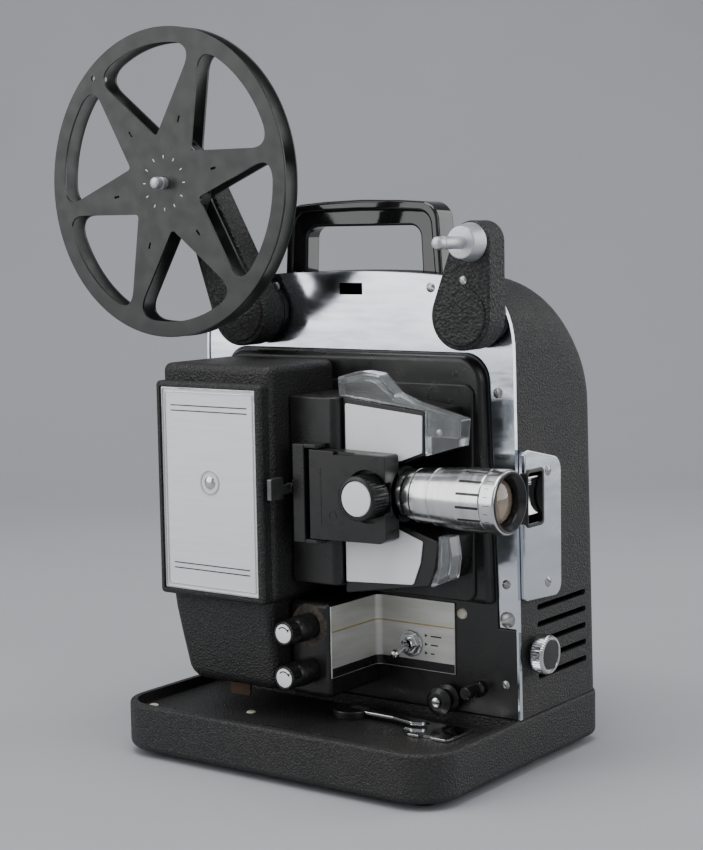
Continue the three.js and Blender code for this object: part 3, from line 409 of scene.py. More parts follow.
def case_path(inset=0.0, drop=0.0, foot=FOOT):
    """The case's front outline, from its right foot over the top to its left foot."""
    half = CASE_HALF - inset - 3.0 * (foot - FOOT) / 200.7
    lean = 107.3 - inset
    top = CASE_TOP - drop
    steps = 14
    right = bezier((lean + 0.2, top - SHOULDER), (lean, top), (lean - SHOULDER, top), steps)
    crown = bezier((lean - SHOULDER, top), (0, top + 5.2), (SHOULDER - lean, top), steps)
    left = bezier((SHOULDER - lean, top), (-lean, top), (-lean - 0.2, top - SHOULDER), steps)
    return [(half, foot)] + right + crown[1:] + left[1:] + [(-half, foot)]


def opening_path(inset, foot):
    """The trim plate's round-cornered opening, from its right foot to its left foot."""
    low = 97.2 - (foot - 81) * 0.0372 - inset
    high = 91.6 - inset
    return fillet([(low, foot), (high, 231.5 - inset, 15), (-high, 231.5 - inset, 15), (-low, foot)], 10)


plate = slab("xz", case_path(1.25, 0, 81) + opening_path(0, 81)[::-1], 0, 1.8, 0.35)
plate = cut(plate, box(-8, 8, -1, 3, 262.7, 269.4))
lip = slab("xz", case_path(0, 0, 31) + case_path(1.35, 0, 31)[::-1], -0.9, 1.8, 0.3)
piece("trim_plate_fine", join(plate, lip), POLISHED, "trim_plate")

skirt = slab("xz", fillet([
    (109.1, 31), (108.3, 80.6), (96.8, 80.6), (91.3, 231.2, 15), (-91.3, 231.2, 15), (-96.8, 80.6),
    (-108.3, 80.6), (-109.1, 31)], 8), -1, 1.8, 0.4)
raised = slab("xz", opening_path(1.5, 94), -6, 1.8, 3.4, 5)
pad = slab("xz", rectangle(-86, 86, 95, 215, 6), -8, 0, 1.1, 3)
passages = [
    lambda: box(3, 13, -20, 20, 106.3, 209.7),
    lambda: box(-70, -24, -20, 20, 104, 132),
    lambda: bar("y", 3.3, -20, 20, (58, 0, 190)),
]
plate = join(*[cut(part, *[make() for make in passages]) for part in (skirt, raised, pad)])
piece("mechanism_plate_fine", plate, SMOOTH, "mechanism_plate")


def cover_solid(inset, front, foot):
    """The cover's outer or inner solid: the case outline shrinks round the back edges."""
    rings = []
    start = CASE_DEPTH - TOP_ROUNDING
    curved = [start + TOP_ROUNDING * math.sin(math.pi / 2 * k / 22) for k in range(23)]
    for depth in [front, 14] + curved:
        y = min(depth, CASE_DEPTH - inset)
        past_top = max(0.0, y + TOP_ROUNDING - CASE_DEPTH)
        past_side = max(0.0, y + SIDE_ROUNDING - CASE_DEPTH)
        drop = TOP_ROUNDING - math.sqrt(max(0.0, TOP_ROUNDING ** 2 - past_top ** 2))
        narrow = SIDE_ROUNDING - math.sqrt(max(0.0, SIDE_ROUNDING ** 2 - past_side ** 2))
        if rings and y - rings[-1][0][1] < 0.05:
            continue
        rings.append([(u, y, v) for u, v in case_path(inset + narrow, inset + drop, foot)])
    return loft(rings)


def rocker_window(inner):
    """The thumb rocker's window, cut from a depth in x outwards."""
    return box(inner, 130, 2.6, 19, 139, 167)


cover = cut(cover_solid(0, 2.1, FOOT), cover_solid(COVER_WALL, -3, 25))
slots = []
for n in range(VENTS):
    top = VENT_TOP - VENT_PITCH * n
    front = 28 if abs(top - SIDE_KNOB[2]) < 12 else VENT_FRONT
    slots.append(slab("yz", rectangle(front, VENT_BACK, top - VENT_HEIGHT, top, 1.5), 90, 130))
    slots.append(slab("yz", rectangle(VENT_FRONT, VENT_BACK, top - VENT_HEIGHT, top, 1.5), -130, -90))
cover = cut(cover, rocker_window(80), bar("x", 3.3, 90, 130, SIDE_KNOB), *slots)
piece("rear_cover_fine", cover, WRINKLE, "rear_cover", soft=0.3)


def base_plan(inset):
    side, front, back = BASE_HALF - inset, BASE_FRONT + inset, BASE_BACK - inset
    near, far = FRONT_CORNER - inset, BACK_CORNER - inset
    return fillet([(-side, front, near), (side, front, near), (side, back, far), (-side, back, far)], 12)


levels = [(3.3, 4), (3.8, 2.6), (4.9, 1.2), (6.2, 0.35), (7.5, 0), (28.6, 0), (29.5, 0.2), (30.2, 0.6),
          (30.6, 1.3)]
tray = loft([[(u, v, z) for u, v in base_plan(inset)] for z, inset in levels])
well = slab("xy", fillet([(-107, -83.5, 19), (107, -83.5, 19), (107, -2.5), (-107, -2.5)], 12), 24.5, 45)
under = slab("xy", base_plan(3.2), -5, 21.3)
under = cut(under, *[bar("z", 12, -10, 30, (x, y, 0)) for x in (-91.5, 91.5) for y in (-68, 71.5)])
groove = slab("xy", [(-60, -67.6), (38.7, -63.1), (38.7, -62), (-60, -66.4)], 23.9, 26)
tray = cut(tray, well, groove)
tray = cut(tray, under)
tray = cut(tray, box(95, 105, 21.2, 31.2, -10, 40))
piece("base_tray_fine", tray, WRINKLE, "base_tray", soft=0.35)
crescent = slab("xy", arc(-74, -62, 12, 200, 330) + arc(-74, -62, 10.4, 330, 200), 24.4, 25.5, 0.3)
piece("floor_ridge", crescent, WRINKLE, "base_tray", False)
dots = [turned("z", [(0, 25.3), (2, 25.2), (2.7, 24.8), (2.9, 24.3), (0, 24.3)], (x, y, 0), 24)
        for x, y in ((-99.9, -65.9), (-41.6, -47.3))]
dome = turned("y", [(0, -3.2), (1.6, -2.9), (2.8, -2), (3.2, -0.8), (0, -0.8)], (73.6, 0, 86.5), 24)
piece("cream_plugs", join(*dots, dome), CREAM, "base_tray", False)

# Carrying handle: a deep outer rim with a thinner web inside it.
outer = fillet([(55.4, 271), (52.4, 313.9, 11), (26, 315.7), (0, 316.4), (-26, 315.7), (-52.4, 313.9, 11),
                (-55.4, 271)], 10)
middle = [(50.2, 271), (47.2, 308.6, 8), (24, 309.9), (0, 310.4), (-24, 309.9), (-47.2, 308.6, 8),
          (-50.2, 271)]
inner = fillet([(40.9, 271), (39.5, 301.3, 7), (-39.5, 301.3, 7), (-40.9, 271)], 10)
rim = slab("xz", outer + fillet(middle, 10)[::-1], 10, 27, 1.9, 4)
web = slab("xz", fillet([(u + math.copysign(0.8, u) if u else u, v + 0.8 if v > 280 else v, *r)
                         for u, v, *r in middle], 10) + inner[::-1], 12.2, 24.8, 1.5, 4)
piece("handle_fine", join(rim, web), GLOSS, "handle")

# ---- Lens side --------------------------------------------------------------------------
plan = fillet([(2.4, 96.8, 2), (41, 94.5, 7), (41, 172, 9), (2.4, 180.4, 3)], 8)
plate = cut(slab("yz", plan, 108.2, 112.8, 0.7, 3), rocker_window(90))
piece("side_plate_fine", plate, POLISHED, "side_plate")
collar = slab("yz", rectangle(2.2, 20.6, 137, 169, 3), 109, 114.1, 0.7, 3)
piece("rocker_frame", cut(collar, slab("yz", rectangle(3.4, 18.4, 138.9, 167.1, 1.5), 90, 130)), SMOOTH,
      "side_plate", False)

hollow = bezier((112.6, 144), (106.2, 154), (112.6, 164), 20)
profile = [(100, 150), (110.6, 143), (112, 143.1)] + hollow + [(112, 164.9), (110.6, 165), (100, 158)]
rocker = slab("xz", profile, 4.6, 17, 0.35)
ribs = [box(110.4, 113.4, 3, 18, z, z + 0.5) for z in (158.6, 159.9, 161.2, 162.5)]
piece("side_rocker_fine", cut(rocker, *ribs), CHROME, "side_rocker")

knob = turned("x", [
    (0, 97), (5.3, 97), (5.3, 103), (3, 103), (3, 111.5), (9.2, 111.5), (9.6, 112), (10.9, 113.1, 0.5),
    (11, 113.6, 0.55), (11, 118.8, 0.55), (10.8, 119.3, 0.4), (10.1, 120.2), (8.7, 120.3), (8.5, 119.6),
    (0, 119.6)], SIDE_KNOB, 192, 48)
piece("elevation_knob_fine", knob, CHROME, "elevation_knob")
cap = turned("x", [(0, 120.05), (6, 120.05), (8.2, 119.9), (8.35, 119.4), (0, 119.4)], SIDE_KNOB, 48)
piece("elevation_knob_cap", cap, PLASTIC, "elevation_knob", False)

heads = [screw("y", -1, (x, 0, 267), 2.7, 1.1, a) for x, a in ((-54.5, 40), (54.5, 15))]
heads += [screw("y", -1, (97.4, 0, 210.3), 2.9, 1.1, 70), screw("y", -1, (101.7, 0, 105.5), 2.6, 1, 20),
          screw("y", -1, (102.3, 0, 86), 4.5, 1.6, -25), screw("y", -1, (101.5, -1, 49.8), 2.4, 0.9, 50)]
piece("front_screws", join(*heads), STEEL, "trim_plate", False)
heads = [screw("x", 1, (112.8, 26.5, 166), 2.9, 1.1, 25), screw("x", 1, (112.8, 26, 104), 2.9, 1.1, -35)]
piece("side_screws", join(*heads), STEEL, "side_plate", False)

# ---- Lamp house -------------------------------------------------------------------------
shell = cut(box(-86.5, -8, -66, 12, 94, 226, 4.5, 6), box(-200, 200, -8.3, 200, 0, 400))
bezel = box(-86.3, -9.8, -72.5, -54, 94.2, 216.4, 2.6, 5)


def lamp_space():
    return [box(-84, -10.5, -64.6, 10, 96.5, 223.2), box(-83, -13.6, -100, -69.4, 97.5, 213.3),
            bar("x", 11, -18, -3, AXIS), box(-62, -32, -55, 10, 89, 98)]


piece("lamp_house_cover_fine", join(*[cut(part, *lamp_space()) for part in (shell, bezel)]), WRINKLE,
      "lamp_house_cover", soft=0.3)


def frame_band(inset, width, front, back):
    x0, x1, z0, z1 = -82.7 + inset, -13.9 - inset, 97.8 + inset, 213 - inset
    hole = slab("xz", rectangle(x0 + width, x1 - width, z0 + width, z1 - width, 0.6), front - 1, back + 1)
    return cut(slab("xz", rectangle(x0, x1, z0, z1, 1), front, back, 0.2), hole)


panel = slab("xz", rectangle(-82.4, -14.2, 98.1, 212.7, 1), -70.7, -69.7)
piece("name_panel_fine", panel, PANEL, "name_panel")
BOSS = (-48.3, 0, 160)
boss = turned("y", [(0, -71.9), (2.6, -71.8), (3.6, -71.2), (3.9, -70.6), (0, -70.6)], BOSS, 36)
ring = turned("y", [(6.1, -71.1), (6.9, -71.1), (6.9, -70.6), (6.1, -70.6), (6.1, -71.1)], BOSS, 48)
piece("panel_trim", join(frame_band(0, 0.9, -71.6, -69.7), frame_band(2.3, 0.5, -71.1, -70.5), boss, ring),
      CHROME, "name_panel", False)
lines = [box(-76, -20.6, -70.85, -70.5, z, z + 0.6) for z in (202.5, 199.5, 112.5, 109.5)]
piece("panel_pinstripes", join(*lines), PLASTIC, "name_panel", False)


LOWER_CORNER = 5.0
LOWER_FLOOR = 43.1


def lower_ring(x0, x1, front, z):
    plan = fillet([(x0, front, LOWER_CORNER), (x1, front, LOWER_CORNER), (x1, -1.4), (x0, -1.4)], 8)
    return [(u, v, z) for u, v in plan]


def lower_solid(inset, top):
    """The lower housing's outer or inner solid; the inner one leaves out the two lowest rows."""
    rows = [(-86, -13.4, -63, top), (-86, -13.4, -63, 92.8), (-84.5, -13.4, -63, 84),
            (-81.4, -13, -61.6, 67), (-78, -12.6, -60, 50), (-76.9, -12.9, -58.9, 47),
            (-75.2, -13.7, -57.3, 44.6), (-73, -15, -55, LOWER_FLOOR)]
    return loft([lower_ring(x0 + inset, x1 - inset, front + inset,
                            max(z, LOWER_FLOOR + inset) if z < 60 else z)
                 for x0, x1, front, z in rows if not (inset and 43 < z < 46)])


piece("lamp_house_lower_fine", cut(lower_solid(0, 93.6), lower_solid(2.6, 110)), WRINKLE, "lamp_house_lower",
      soft=0.4)
tab = slab("xz", rectangle(-63, -48, 31.5, 45, 1.5), -40, -38.4, 0.3)
piece("lamp_house_tab", tab, BROWN, "lamp_house_lower", False)

# ---- Shutter housing and film guides ----------------------------------------------------
GUIDE_DEPTH = (-44, -8.3)
PANEL_DEPTH = (-45, -44.2)
CHUTE_DEPTH = (-44.5, -34.7)
FILM_DEPTH = (-43.6, -35.6)

plan = fillet([(-7.2, -50, 1.5), (25, -50, 5), (25, -8.3), (-7.2, -8.3)], 8)
housing = cut(slab("xy", plan, 105, 209, 1.2, 4), box(-4.8, 22.6, -47.6, 10, 107, 207),
              bar("x", 12.3, -12, -2, (0, -38.5, 158)), box(20, 30, -42.8, -37.2, 156, 160))
piece("shutter_housing_fine", housing, SMOOTH, "shutter_housing")

shape = fillet([(25.3, 174.6), (64.5, 174.6), (78.9, 180.4, 1.5), (79.1, 203.2, 1.5), (25.3, 209.1, 1)], 5)
guide = cut(slab("xz", shape, *GUIDE_DEPTH, 0.7, 3), bar("y", 11, -42, 0, (58, 0, 190)))
piece("upper_film_guide_fine", guide, SMOOTH, "upper_film_guide")
shape = fillet([(25.3, 141.6), (61.8, 141.6), (86.5, 134.4, 1.5), (84.5, 120, 10), (80.6, 109.8, 2),
                (25.3, 100.6, 1)], 6)
piece("lower_film_guide_fine", slab("xz", shape, *GUIDE_DEPTH, 0.7, 3), SMOOTH, "lower_film_guide")
shape = fillet([(27.5, 176, 0.8), (63.3, 176, 2), (77.4, 181.2, 1), (77.8, 201.1, 1), (27.5, 205.7, 0.8)], 5)
piece("upper_guide_panel_fine", slab("xz", shape, *PANEL_DEPTH, 0.2), WHITE, "upper_guide_panel")
shape = fillet([(26.6, 107.3, 0.8), (70.8, 109.8, 2), (75.6, 122, 8), (77.3, 133.7, 1), (62.2, 138.9, 2),
                (26.6, 138.9, 0.8)], 5)
piece("lower_guide_panel_fine", slab("xz", shape, *PANEL_DEPTH, 0.2), WHITE, "lower_guide_panel")

body = fillet([
    (23.2, 209.5), (79.4, 203.6), (79.4, 179.6), (100.6, 185.8), (102.2, 200.1, 1.5), (72, 207.5, 8),
    (60, 212, 6), (49, 222.4, 6), (38, 223.6, 8), (22.6, 219.9, 1)], 8)
film = fillet([
    (110, 190), (110, 197.2), (72, 206.5, 6), (59, 210.9, 4), (47.9, 220.8, 5), (38, 221.8, 6),
    (20, 218.2), (20, 215.2), (38, 218.6, 6), (46.6, 217.6, 5), (58, 208.6, 4), (72, 205.3),
    (81, 202.9), (81, 190)], 6)
chute = cut(slab("xz", body, *CHUTE_DEPTH, 0.35), slab("xz", film, *FILM_DEPTH))
piece("upper_film_chute_fine", chute, CLEAR, "upper_film_chute")
body = fillet([(87.2, 137.2), (93.9, 137.6, 1), (95.6, 126, 12), (93.6, 114.2, 3), (82.6, 109.6, 0.6),
               (81.9, 110.6, 0.6), (86.6, 121, 8)], 8)
film = fillet([(88.8, 140), (91.8, 140), (93.5, 126, 8), (91.6, 116.4, 2), (85.6, 113.6),
               (88.6, 122.5, 6)], 6)
chute = cut(slab("xz", body, *CHUTE_DEPTH, 0.35), slab("xz", film, *FILM_DEPTH))
piece("lower_film_chute_fine", chute, CLEAR, "lower_film_chute")
piece("chute_screw", screw("y", -1, (88.5, -44.5, 192.5), 1.9, 0.8, 20), STEEL, "upper_film_chute", False)

# ---- Lens carrier and lens --------------------------------------------------------------
FOCUS = (52, 0, 158)
GLASS_RADIUS = 11.9
GLASS_BACK = 122
GLASS_DOME = 3.5

ears = [slab("xy", fillet([(5, -59.5), (19, -59.5, 2), (19, -50.3, 2), (5, -50.3)]), z, z + 2.1, 0.3)
        for z in (129.4, 181.9)]
bracket = join(box(2, 10, -60, -50.3, 129.4, 183.9, 0.6), *ears, bar("z", 1.4, 130, 183.5, (16, -55.5, 0)))
piece("lens_hinge_bracket_fine", bracket, SMOOTH, "lens_hinge_bracket")

face = fillet([(13.4, 132), (60, 133, 1.5), (64, 135, 1.5), (64, 180.3, 1.5), (13.4, 181.3)], 5)
block = cut(slab("xz", face, -60, -47, 0.5), box(0, 26.2, -50.8, 0, 0, 300), box(0, 19, -51.9, 0, 0, 300),
            bar("y", 14.5, -90, -54.6, FOCUS, 64), bar("x", 12.7, 0, 84, AXIS, 64),
            bar("z", 1.7, 0, 300, (16, -55.5, 0)), box(30, 44, -61, -57.6, 179.2, 190))
sleeve = turned("x", [(12.7, 27.8), (15.2, 27.8), (15.2, 64), (12.7, 64), (12.7, 27.8)], AXIS, 64)
piece("lens_carrier_fine", join(block, sleeve), SMOOTH, "lens_carrier")
# painted shade: a black strip on the carrier face stands in for the shade inside its slit; the small black
# ring beside it is a mark
slit_shade = box(20.2, 21.6, -60.15, -59.5, 140, 172)
mark = turned("y", [(2.1, -60.2), (2.6, -60.2), (2.6, -59.6), (2.1, -59.6), (2.1, -60.2)], (29, 0, 146), 24)
piece("carrier_slit_shade_and_mark", join(slit_shade, mark), PLASTIC, "lens_carrier", False)

knob = turned("y", [
    (0, -69.4), (9.7, -69.4), (9.9, -70.2), (10.9, -70.2), (12, -69.6, 0.3), (12.3, -68.6, 0.4),
    (12.3, -57.2, 0.4), (11.3, -55.1), (0, -55.1)], FOCUS, 160, 40)
piece("focus_knob_fine", knob, PLASTIC, "focus_knob")
cap = turned("y", [(0, -70.2), (8, -70.2), (9.3, -69.95), (9.6, -69.3), (0, -69.3)], FOCUS, 64)
piece("focus_knob_cap", cap, WHITE, "focus_knob", False)

barrel = turned("x", [
    (10.4, 32), (12, 32), (12.4, 32.6), (12.4, 67.6), (12.9, 68.4), (14, 70), (14.6, 72.4), (14.7, 74.6),
    (14.2, 74.8), (14.2, 75.4), (14.8, 75.6), (15.2, 81), (15.5, 86.6), (15.2, 86.8), (15.2, 87.2),
    (15.6, 87.4), (16.4, 97), (16.95, 104), (17, 104.4), (17, 119), (16.7, 119.6), (12.6, 119.6),
    (10.4, 108), (10.4, 32)], AXIS, 96)
piece("lens_barrel_fine", barrel, BARREL, "lens_barrel")
# painted shade: black strips set flush in the barrel stand in for the shade inside its grip slots, and a
# black ring on the floor of the groove near 75 mm is painted shade in that groove
slot_shade_strips = [turn(box(105.6, 119.4, -40.7, -39.3, 174.4, 175.06, 0.15), angle, "X", AXIS)
          for angle in range(0, 360, 24)]
band = turned("x", [(14.1, 74.7), (14.35, 74.7), (14.35, 75.5), (14.1, 75.5), (14.1, 74.7)], AXIS, 72)
piece("lens_slot_and_groove_shade", join(*slot_shade_strips, band), PLASTIC, "lens_barrel", False)
ring = turned("x", [
    (15.9, 120), (16.9, 120), (17.2, 120.4), (17.2, 127.8), (16.9, 128.5), (16.4, 128.9), (15.9, 128.9),
    (15.9, 120)], AXIS, 96)
piece("lens_front_ring_fine", ring, BARREL, "lens_front_ring")
cone = turned("x", [
    (12.2, 120), (16.2, 120), (16.2, 129.3), (15.9, 129.5), (15.2, 129.45), (13.9, 127.8), (13, 126.9),
    (12.2, 125.6), (12.2, 120)], AXIS, 96)
piece("lens_inner_cone", cone, PLASTIC, "lens_front_ring", False)
ticks = [turn(box(122.4, 125.2 if angle % 45 else 126.6, -40.15, -39.85, 174.9, 175.23), angle, "X", AXIS)
         for angle in range(0, 360, 15)]
piece("lens_ticks", join(*ticks), PLASTIC, "lens_front_ring", False)
angles = [math.pi / 2 * n / 10 for n in range(10, -1, -1)]
dish = [(GLASS_RADIUS * math.sin(a), GLASS_BACK + GLASS_DOME * math.cos(a)) for a in angles]
glass = turned("x", [(0, GLASS_BACK)] + [(r, max(x, GLASS_BACK + 0.4)) for r, x in dish], AXIS, 64)
piece("lens_glass_fine", glass, GLASS, "lens_glass")

drum = bar("x", 3, -6.2, -1.6, (0, -53.6, 158))
blade = fillet([(-53.6, 155.4), (-62.4, 155.4), (-62.4, 153.2, 0.5), (-73.3, 153.2, 0.8),
                (-73.3, 165.2, 0.8), (-62.4, 165.2, 0.8), (-62.4, 160.6), (-53.6, 160.6)])
piece("selector_lever_fine", join(drum, slab("yz", blade, -5.4, -2.4, 0.4)), DARK_SATIN, "selector_lever")
plate = box(0.2, 12, -50.9, -49.9, 152, 167, 0.3)
piece("selector_plate", plate, PLASTIC, "shutter_housing", False)
dashes = [box(x0, x1, -51.05, -50.8, z, z + 1.1)
          for z in (155, 159, 163) for x0, x1 in ((1.4, 6), (7.6, 8.7))]
piece("selector_dashes", join(*dashes), BRASS, "shutter_housing", False)

# ---- Controls under the film gear -------------------------------------------------------
CONTROL_X = 1.5
UPPER_CONTROL = 79.8
LOWER_CONTROL = 55
TOGGLE_X = 39.7
TOGGLE_Z = 66
TOGGLE = (TOGGLE_X, 0, TOGGLE_Z)
ROLLER = (65.5, 0, 38.4)

block = cut(box(-12.2, 15.5, -47, 18, 40, 93.6, 3, 5), box(-200, 200, -1.3, 200, 0, 400),
            box(-9.6, 12.9, -44.4, 10, 43, 91))
piece("knob_bracket_fine", block, SMOOTH, "knob_bracket")
for name, z in (("upper_control_knob", UPPER_CONTROL), ("lower_control_knob", LOWER_CONTROL)):
    knob = turned("y", [
        (0, -70), (5.4, -70), (5.6, -70.7), (6.2, -70.7), (6.8, -70.1, 0.35), (6.9, -69.4, 0.45),
        (6.9, -62.6, 0.45), (6.5, -62.2, 0.3), (5.8, -61.8), (7.2, -59.5), (7.6, -55), (7.4, -48.4),
        (7.1, -47.3), (0, -47.3)], (CONTROL_X, 0, z), 120, 30)
    piece(name + "_fine", knob, PLASTIC, name)
    cap = turned("y", [(0, -70.75), (4.6, -70.7), (5.3, -70.4), (5.35, -69.9), (0, -69.9)],
                 (CONTROL_X, 0, z), 40)
    piece(name + "_cap", cap, WHITE, name, False)
    arrow = slab("xz", arc(CONTROL_X, z, 3.9, 40, 140) + arc(CONTROL_X, z, 3.3, 140, 40), -70.82, -70.6)
    head = slab("xz", [(CONTROL_X + 3.6, z + 1), (CONTROL_X + 2.2, z + 2.6), (CONTROL_X + 4.2, z + 3)],
                -70.82, -70.6)
    piece(name + "_arrow", join(arrow, head), PLASTIC, name, False)
dust = turned("y", [(7.9, -47.25), (11.4, -47.2), (12.6, -46.9), (7.9, -46.9), (7.9, -47.25)],
              (CONTROL_X, 0, UPPER_CONTROL), 48)
piece("knob_dust_ring", dust, DUST, "knob_bracket", False)

bend = fillet([(15.8, -46.5), (16.6, -46.5), (16.6, -2.1, 4), (69, -2.1), (69, -1.3), (15.8, -1.3, 4.8)], 8)
sheet = cut(slab("xy", bend, 51.5, 92, 0.15), bar("y", 3.4, -10, 10, TOGGLE))
piece("label_panel_fine", sheet, LABEL, "label_panel")
rail = slab("xy", fillet([(16.5, -46), (16.75, -46), (16.75, -2.25, 4), (68.8, -2.25), (68.8, -2.05),
                          (16.5, -2.05, 4.2)], 8), 51.9, 57)
piece("label_black_band", rail, PLASTIC, "label_panel", False)
line = slab("xy", fillet([(16.5, -46), (16.72, -46), (16.72, -2.22, 4), (68.8, -2.22), (68.8, -2.05),
                          (16.5, -2.05, 4.2)], 8), 77.2, 78)
piece("label_brown_line", line, BRASS, "label_panel", False)
marks = [slab("xz", [(49, z), (51, z + 1), (49, z + 2)], -2.2, -2) for z in (60.5, 65.5, 70.5)]
marks += [box(53, 53 + 2.4 * n, -2.2, -2, z + 0.5, z + 1.3) for n, z in ((1, 60.5), (2, 65.5), (3, 70.5))]
piece("label_marks", join(*marks), PLASTIC, "label_panel", False)

washer = turned("y", [(4, -3.4), (7.3, -3.4), (7.6, -3.1), (7.6, -2.4), (4, -2.4), (4, -3.4)],
                TOGGLE, 40)
hexagon = [(TOGGLE_X + 6.4 * math.cos(math.radians(a)), TOGGLE_Z + 6.4 * math.sin(math.radians(a)))
           for a in range(0, 360, 60)]
nut = cut(slab("xz", hexagon, -5.6, -3, 0.5), bar("y", 3.9, -10, 0, TOGGLE))
bush = turned("y", [(1.6, -5.2), (3.4, -7.6), (3.8, -7.6), (4, -7.3), (4, -2.4), (1.6, -2.4), (1.6, -5.2)],
              TOGGLE, 32)
piece("toggle_nut_fine", join(washer, nut, bush), CHROME, "toggle_nut")
lever = turned("y", [
    (0, -15.5), (1, -15.4), (1.9, -14.9), (2.5, -13.9), (2.6, -12.9), (2.3, -11.4), (1.8, -9), (1.5, -7),
    (1.2, -0.9), (0.8, 0), (0, 0.1)], (0, 0, 0), 32)
lever.transform(Matrix.Translation((TOGGLE_X, -5.6, TOGGLE_Z)) @ Matrix.Rotation(math.radians(13), 4, "X"))
piece("toggle_lever_fine", lever, CHROME, "toggle_lever")

axle = turned("y", [
    (0, -17.7), (2, -17.6), (2.7, -17.2), (2.8, -16.6), (2, -16.6), (2, -1.3), (0, -1.3)], ROLLER, 32)
piece("roller_axle_fine", axle, CHROME, "roller_axle")
roller = turned("y", [
    (2.3, -15.9), (4.9, -15.9), (5.3, -15.7), (7.7, -14.1), (7.9, -13.7), (7.9, -13), (7.6, -12.7),
    (5.7, -12), (5.6, -6.6), (7.6, -5.6), (7.9, -5.3), (7.9, -4.4), (7.6, -4.1), (5, -3.4), (2.3, -3.4),
    (2.3, -15.9)], ROLLER, 48)
piece("film_roller_fine", roller, PLASTIC, "film_roller")
post = turned("y", [
    (0, -16), (2.8, -16), (3.5, -15.4), (3.6, -14.6), (3.4, -4.6), (4.6, -3.6), (4.8, -3.2), (4.8, -1.3),
    (0, -1.3)], (84, 0, 45.5), 32)
piece("guide_post_fine", post, PLASTIC, "guide_post")

plan = fillet([(55, -35, 2), (63, -41, 2), (89, -41, 2), (89, -14, 2), (55, -14, 2)])
plate = cut(slab("xy", plan, 24.8, 26.3, 0.3), bar("z", 2, 20, 30, (61, -19, 0)),
            bar("z", 2, 20, 30, (77, -18, 0)), box(70, 78, -42, -38.4, 20, 30))
piece("film_trimmer_plate_fine", plate, CHROME, "film_trimmer_plate")
boss = cut(turned("z", [(0, 24.8), (11, 24.8), (11, 28.4), (10.6, 29.1), (9.8, 29.5), (0, 29.5)],
                  (12, -22, 0), 64), box(8, 60, -25, -19, 25.7, 60))
piece("film_trimmer_boss_fine", boss, PLASTIC, "film_trimmer_boss")
plan = fillet([(9, -24.4, 1), (42, -25.2, 2), (57, -29, 3), (64, -27, 3), (64, -21, 3), (50, -21, 2),
               (9, -19.6, 1)])
piece("film_trimmer_arm_fine", slab("xy", plan, 27.2, 29, 0.4), CHROME, "film_trimmer_arm")

# ---- Reel arms --------------------------------------------------------------------------
ARM_PIVOT_Z = 252.6
TAKE_UP_X = -65
TAKE_UP_LENGTH = 82.5
TAKE_UP_LEAN = 24


def leaned(mesh, pivot_x, degrees):
    """A mesh drawn upright with its pivot at the origin, in its place on the case."""
    lean = Matrix.Rotation(math.radians(degrees), 4, "Y")
    mesh.transform(Matrix.Translation((pivot_x, 0, ARM_PIVOT_Z)) @ lean)
    return mesh


def spindle(length):
    stem = turned("y", [
        (0, -55.3), (2, -55.2), (2.9, -54.7), (3.4, -53.6), (3.4, -50.4), (3.1, -50.2), (3.1, -49.6),
        (3.4, -49.4), (3.4, -32), (7.9, -32), (8.5, -31.7), (8.8, -31.1), (10.2, -23.6), (10.4, -22.8),
        (10.4, -22.3), (0, -22.3)], (0, 0, length), 64)
    bead = turned("y", [(0, -43.9), (0.8, -43.7), (1.1, -43), (0.8, -42.3), (0, -42.1)],
                  (-2.9, 0, length + 1.2), 16)
    return join(stem, bead)


for side, pivot_x, length, lean, lobe, tip in (
        ("supply", 87.4, 40, 10.4, 18.5, 11.4),
        ("take_up", TAKE_UP_X, TAKE_UP_LENGTH, -TAKE_UP_LEAN, 19.3, 12)):
    rise = math.degrees(math.asin((lobe - tip) / length))
    outline = arc(0, 0, lobe, 180 - rise, 360 + rise, 40) + arc(0, length, tip, rise, 180 - rise, 24)
    arm = slab("xz", outline, -22, -5, 1.6, 4)
    hub = turned("y", [(0, -23.2), (lobe - 3.2, -23.2), (lobe - 2.4, -22.6), (lobe - 2.4, -7), (0, -7)],
                 (0, 0, 0), 64)
    piece(side + "_arm_fine", leaned(join(arm, hub), pivot_x, lean), COARSE, side + "_arm")
    disc = turned("y", [(0, -4.7), (lobe - 2.8, -4.7), (lobe - 2.5, -4.4), (lobe - 2.5, -0.3), (0, -0.3)],
                  (0, 0, 0), 64)
    piece(side + "_arm_boss_fine", leaned(disc, pivot_x, lean), SMOOTH, side + "_arm_boss")
    piece(side + "_spindle_fine", leaned(spindle(length), pivot_x, lean), SATIN, side + "_spindle")
piece("supply_arm_screw", screw("y", -1, (90, -22.2, 271.8), 2.3, 0.8, 35), STEEL, "supply_arm", False)

# ---- Reel -------------------------------------------------------------------------------
REEL_X = TAKE_UP_X - TAKE_UP_LENGTH * math.sin(math.radians(TAKE_UP_LEAN))
REEL_Z = ARM_PIVOT_Z + TAKE_UP_LENGTH * math.cos(math.radians(TAKE_UP_LEAN))
REEL_RADIUS = 88.9
SPOKES = 6
SPOKE_PITCH = 360 // SPOKES
FIRST_SPOKE = 11
WINDOW_POINT = 27
WINDOW_NECK = 68
WINDOW_OUTER = 80


def reel_window(middle):
    """One window between two spokes: a blunt point near the core and an arc near the rim."""

    def at(radius, degrees):
        angle = math.radians(middle + degrees)
        return (REEL_X + radius * math.cos(angle), REEL_Z + radius * math.sin(angle))

    points = bezier(at(29.4, -3.8), at(WINDOW_POINT, 0), at(29.4, 3.8), 6)
    points += bezier(at(WINDOW_NECK, 26), at(WINDOW_OUTER, 28), at(WINDOW_OUTER, 19), 10)
    points += [at(WINDOW_OUTER, 19 - 38 * n / 18) for n in range(1, 18)]
    points += bezier(at(WINDOW_OUTER, -19), at(WINDOW_OUTER, -28), at(WINDOW_NECK, -26), 10)
    return points


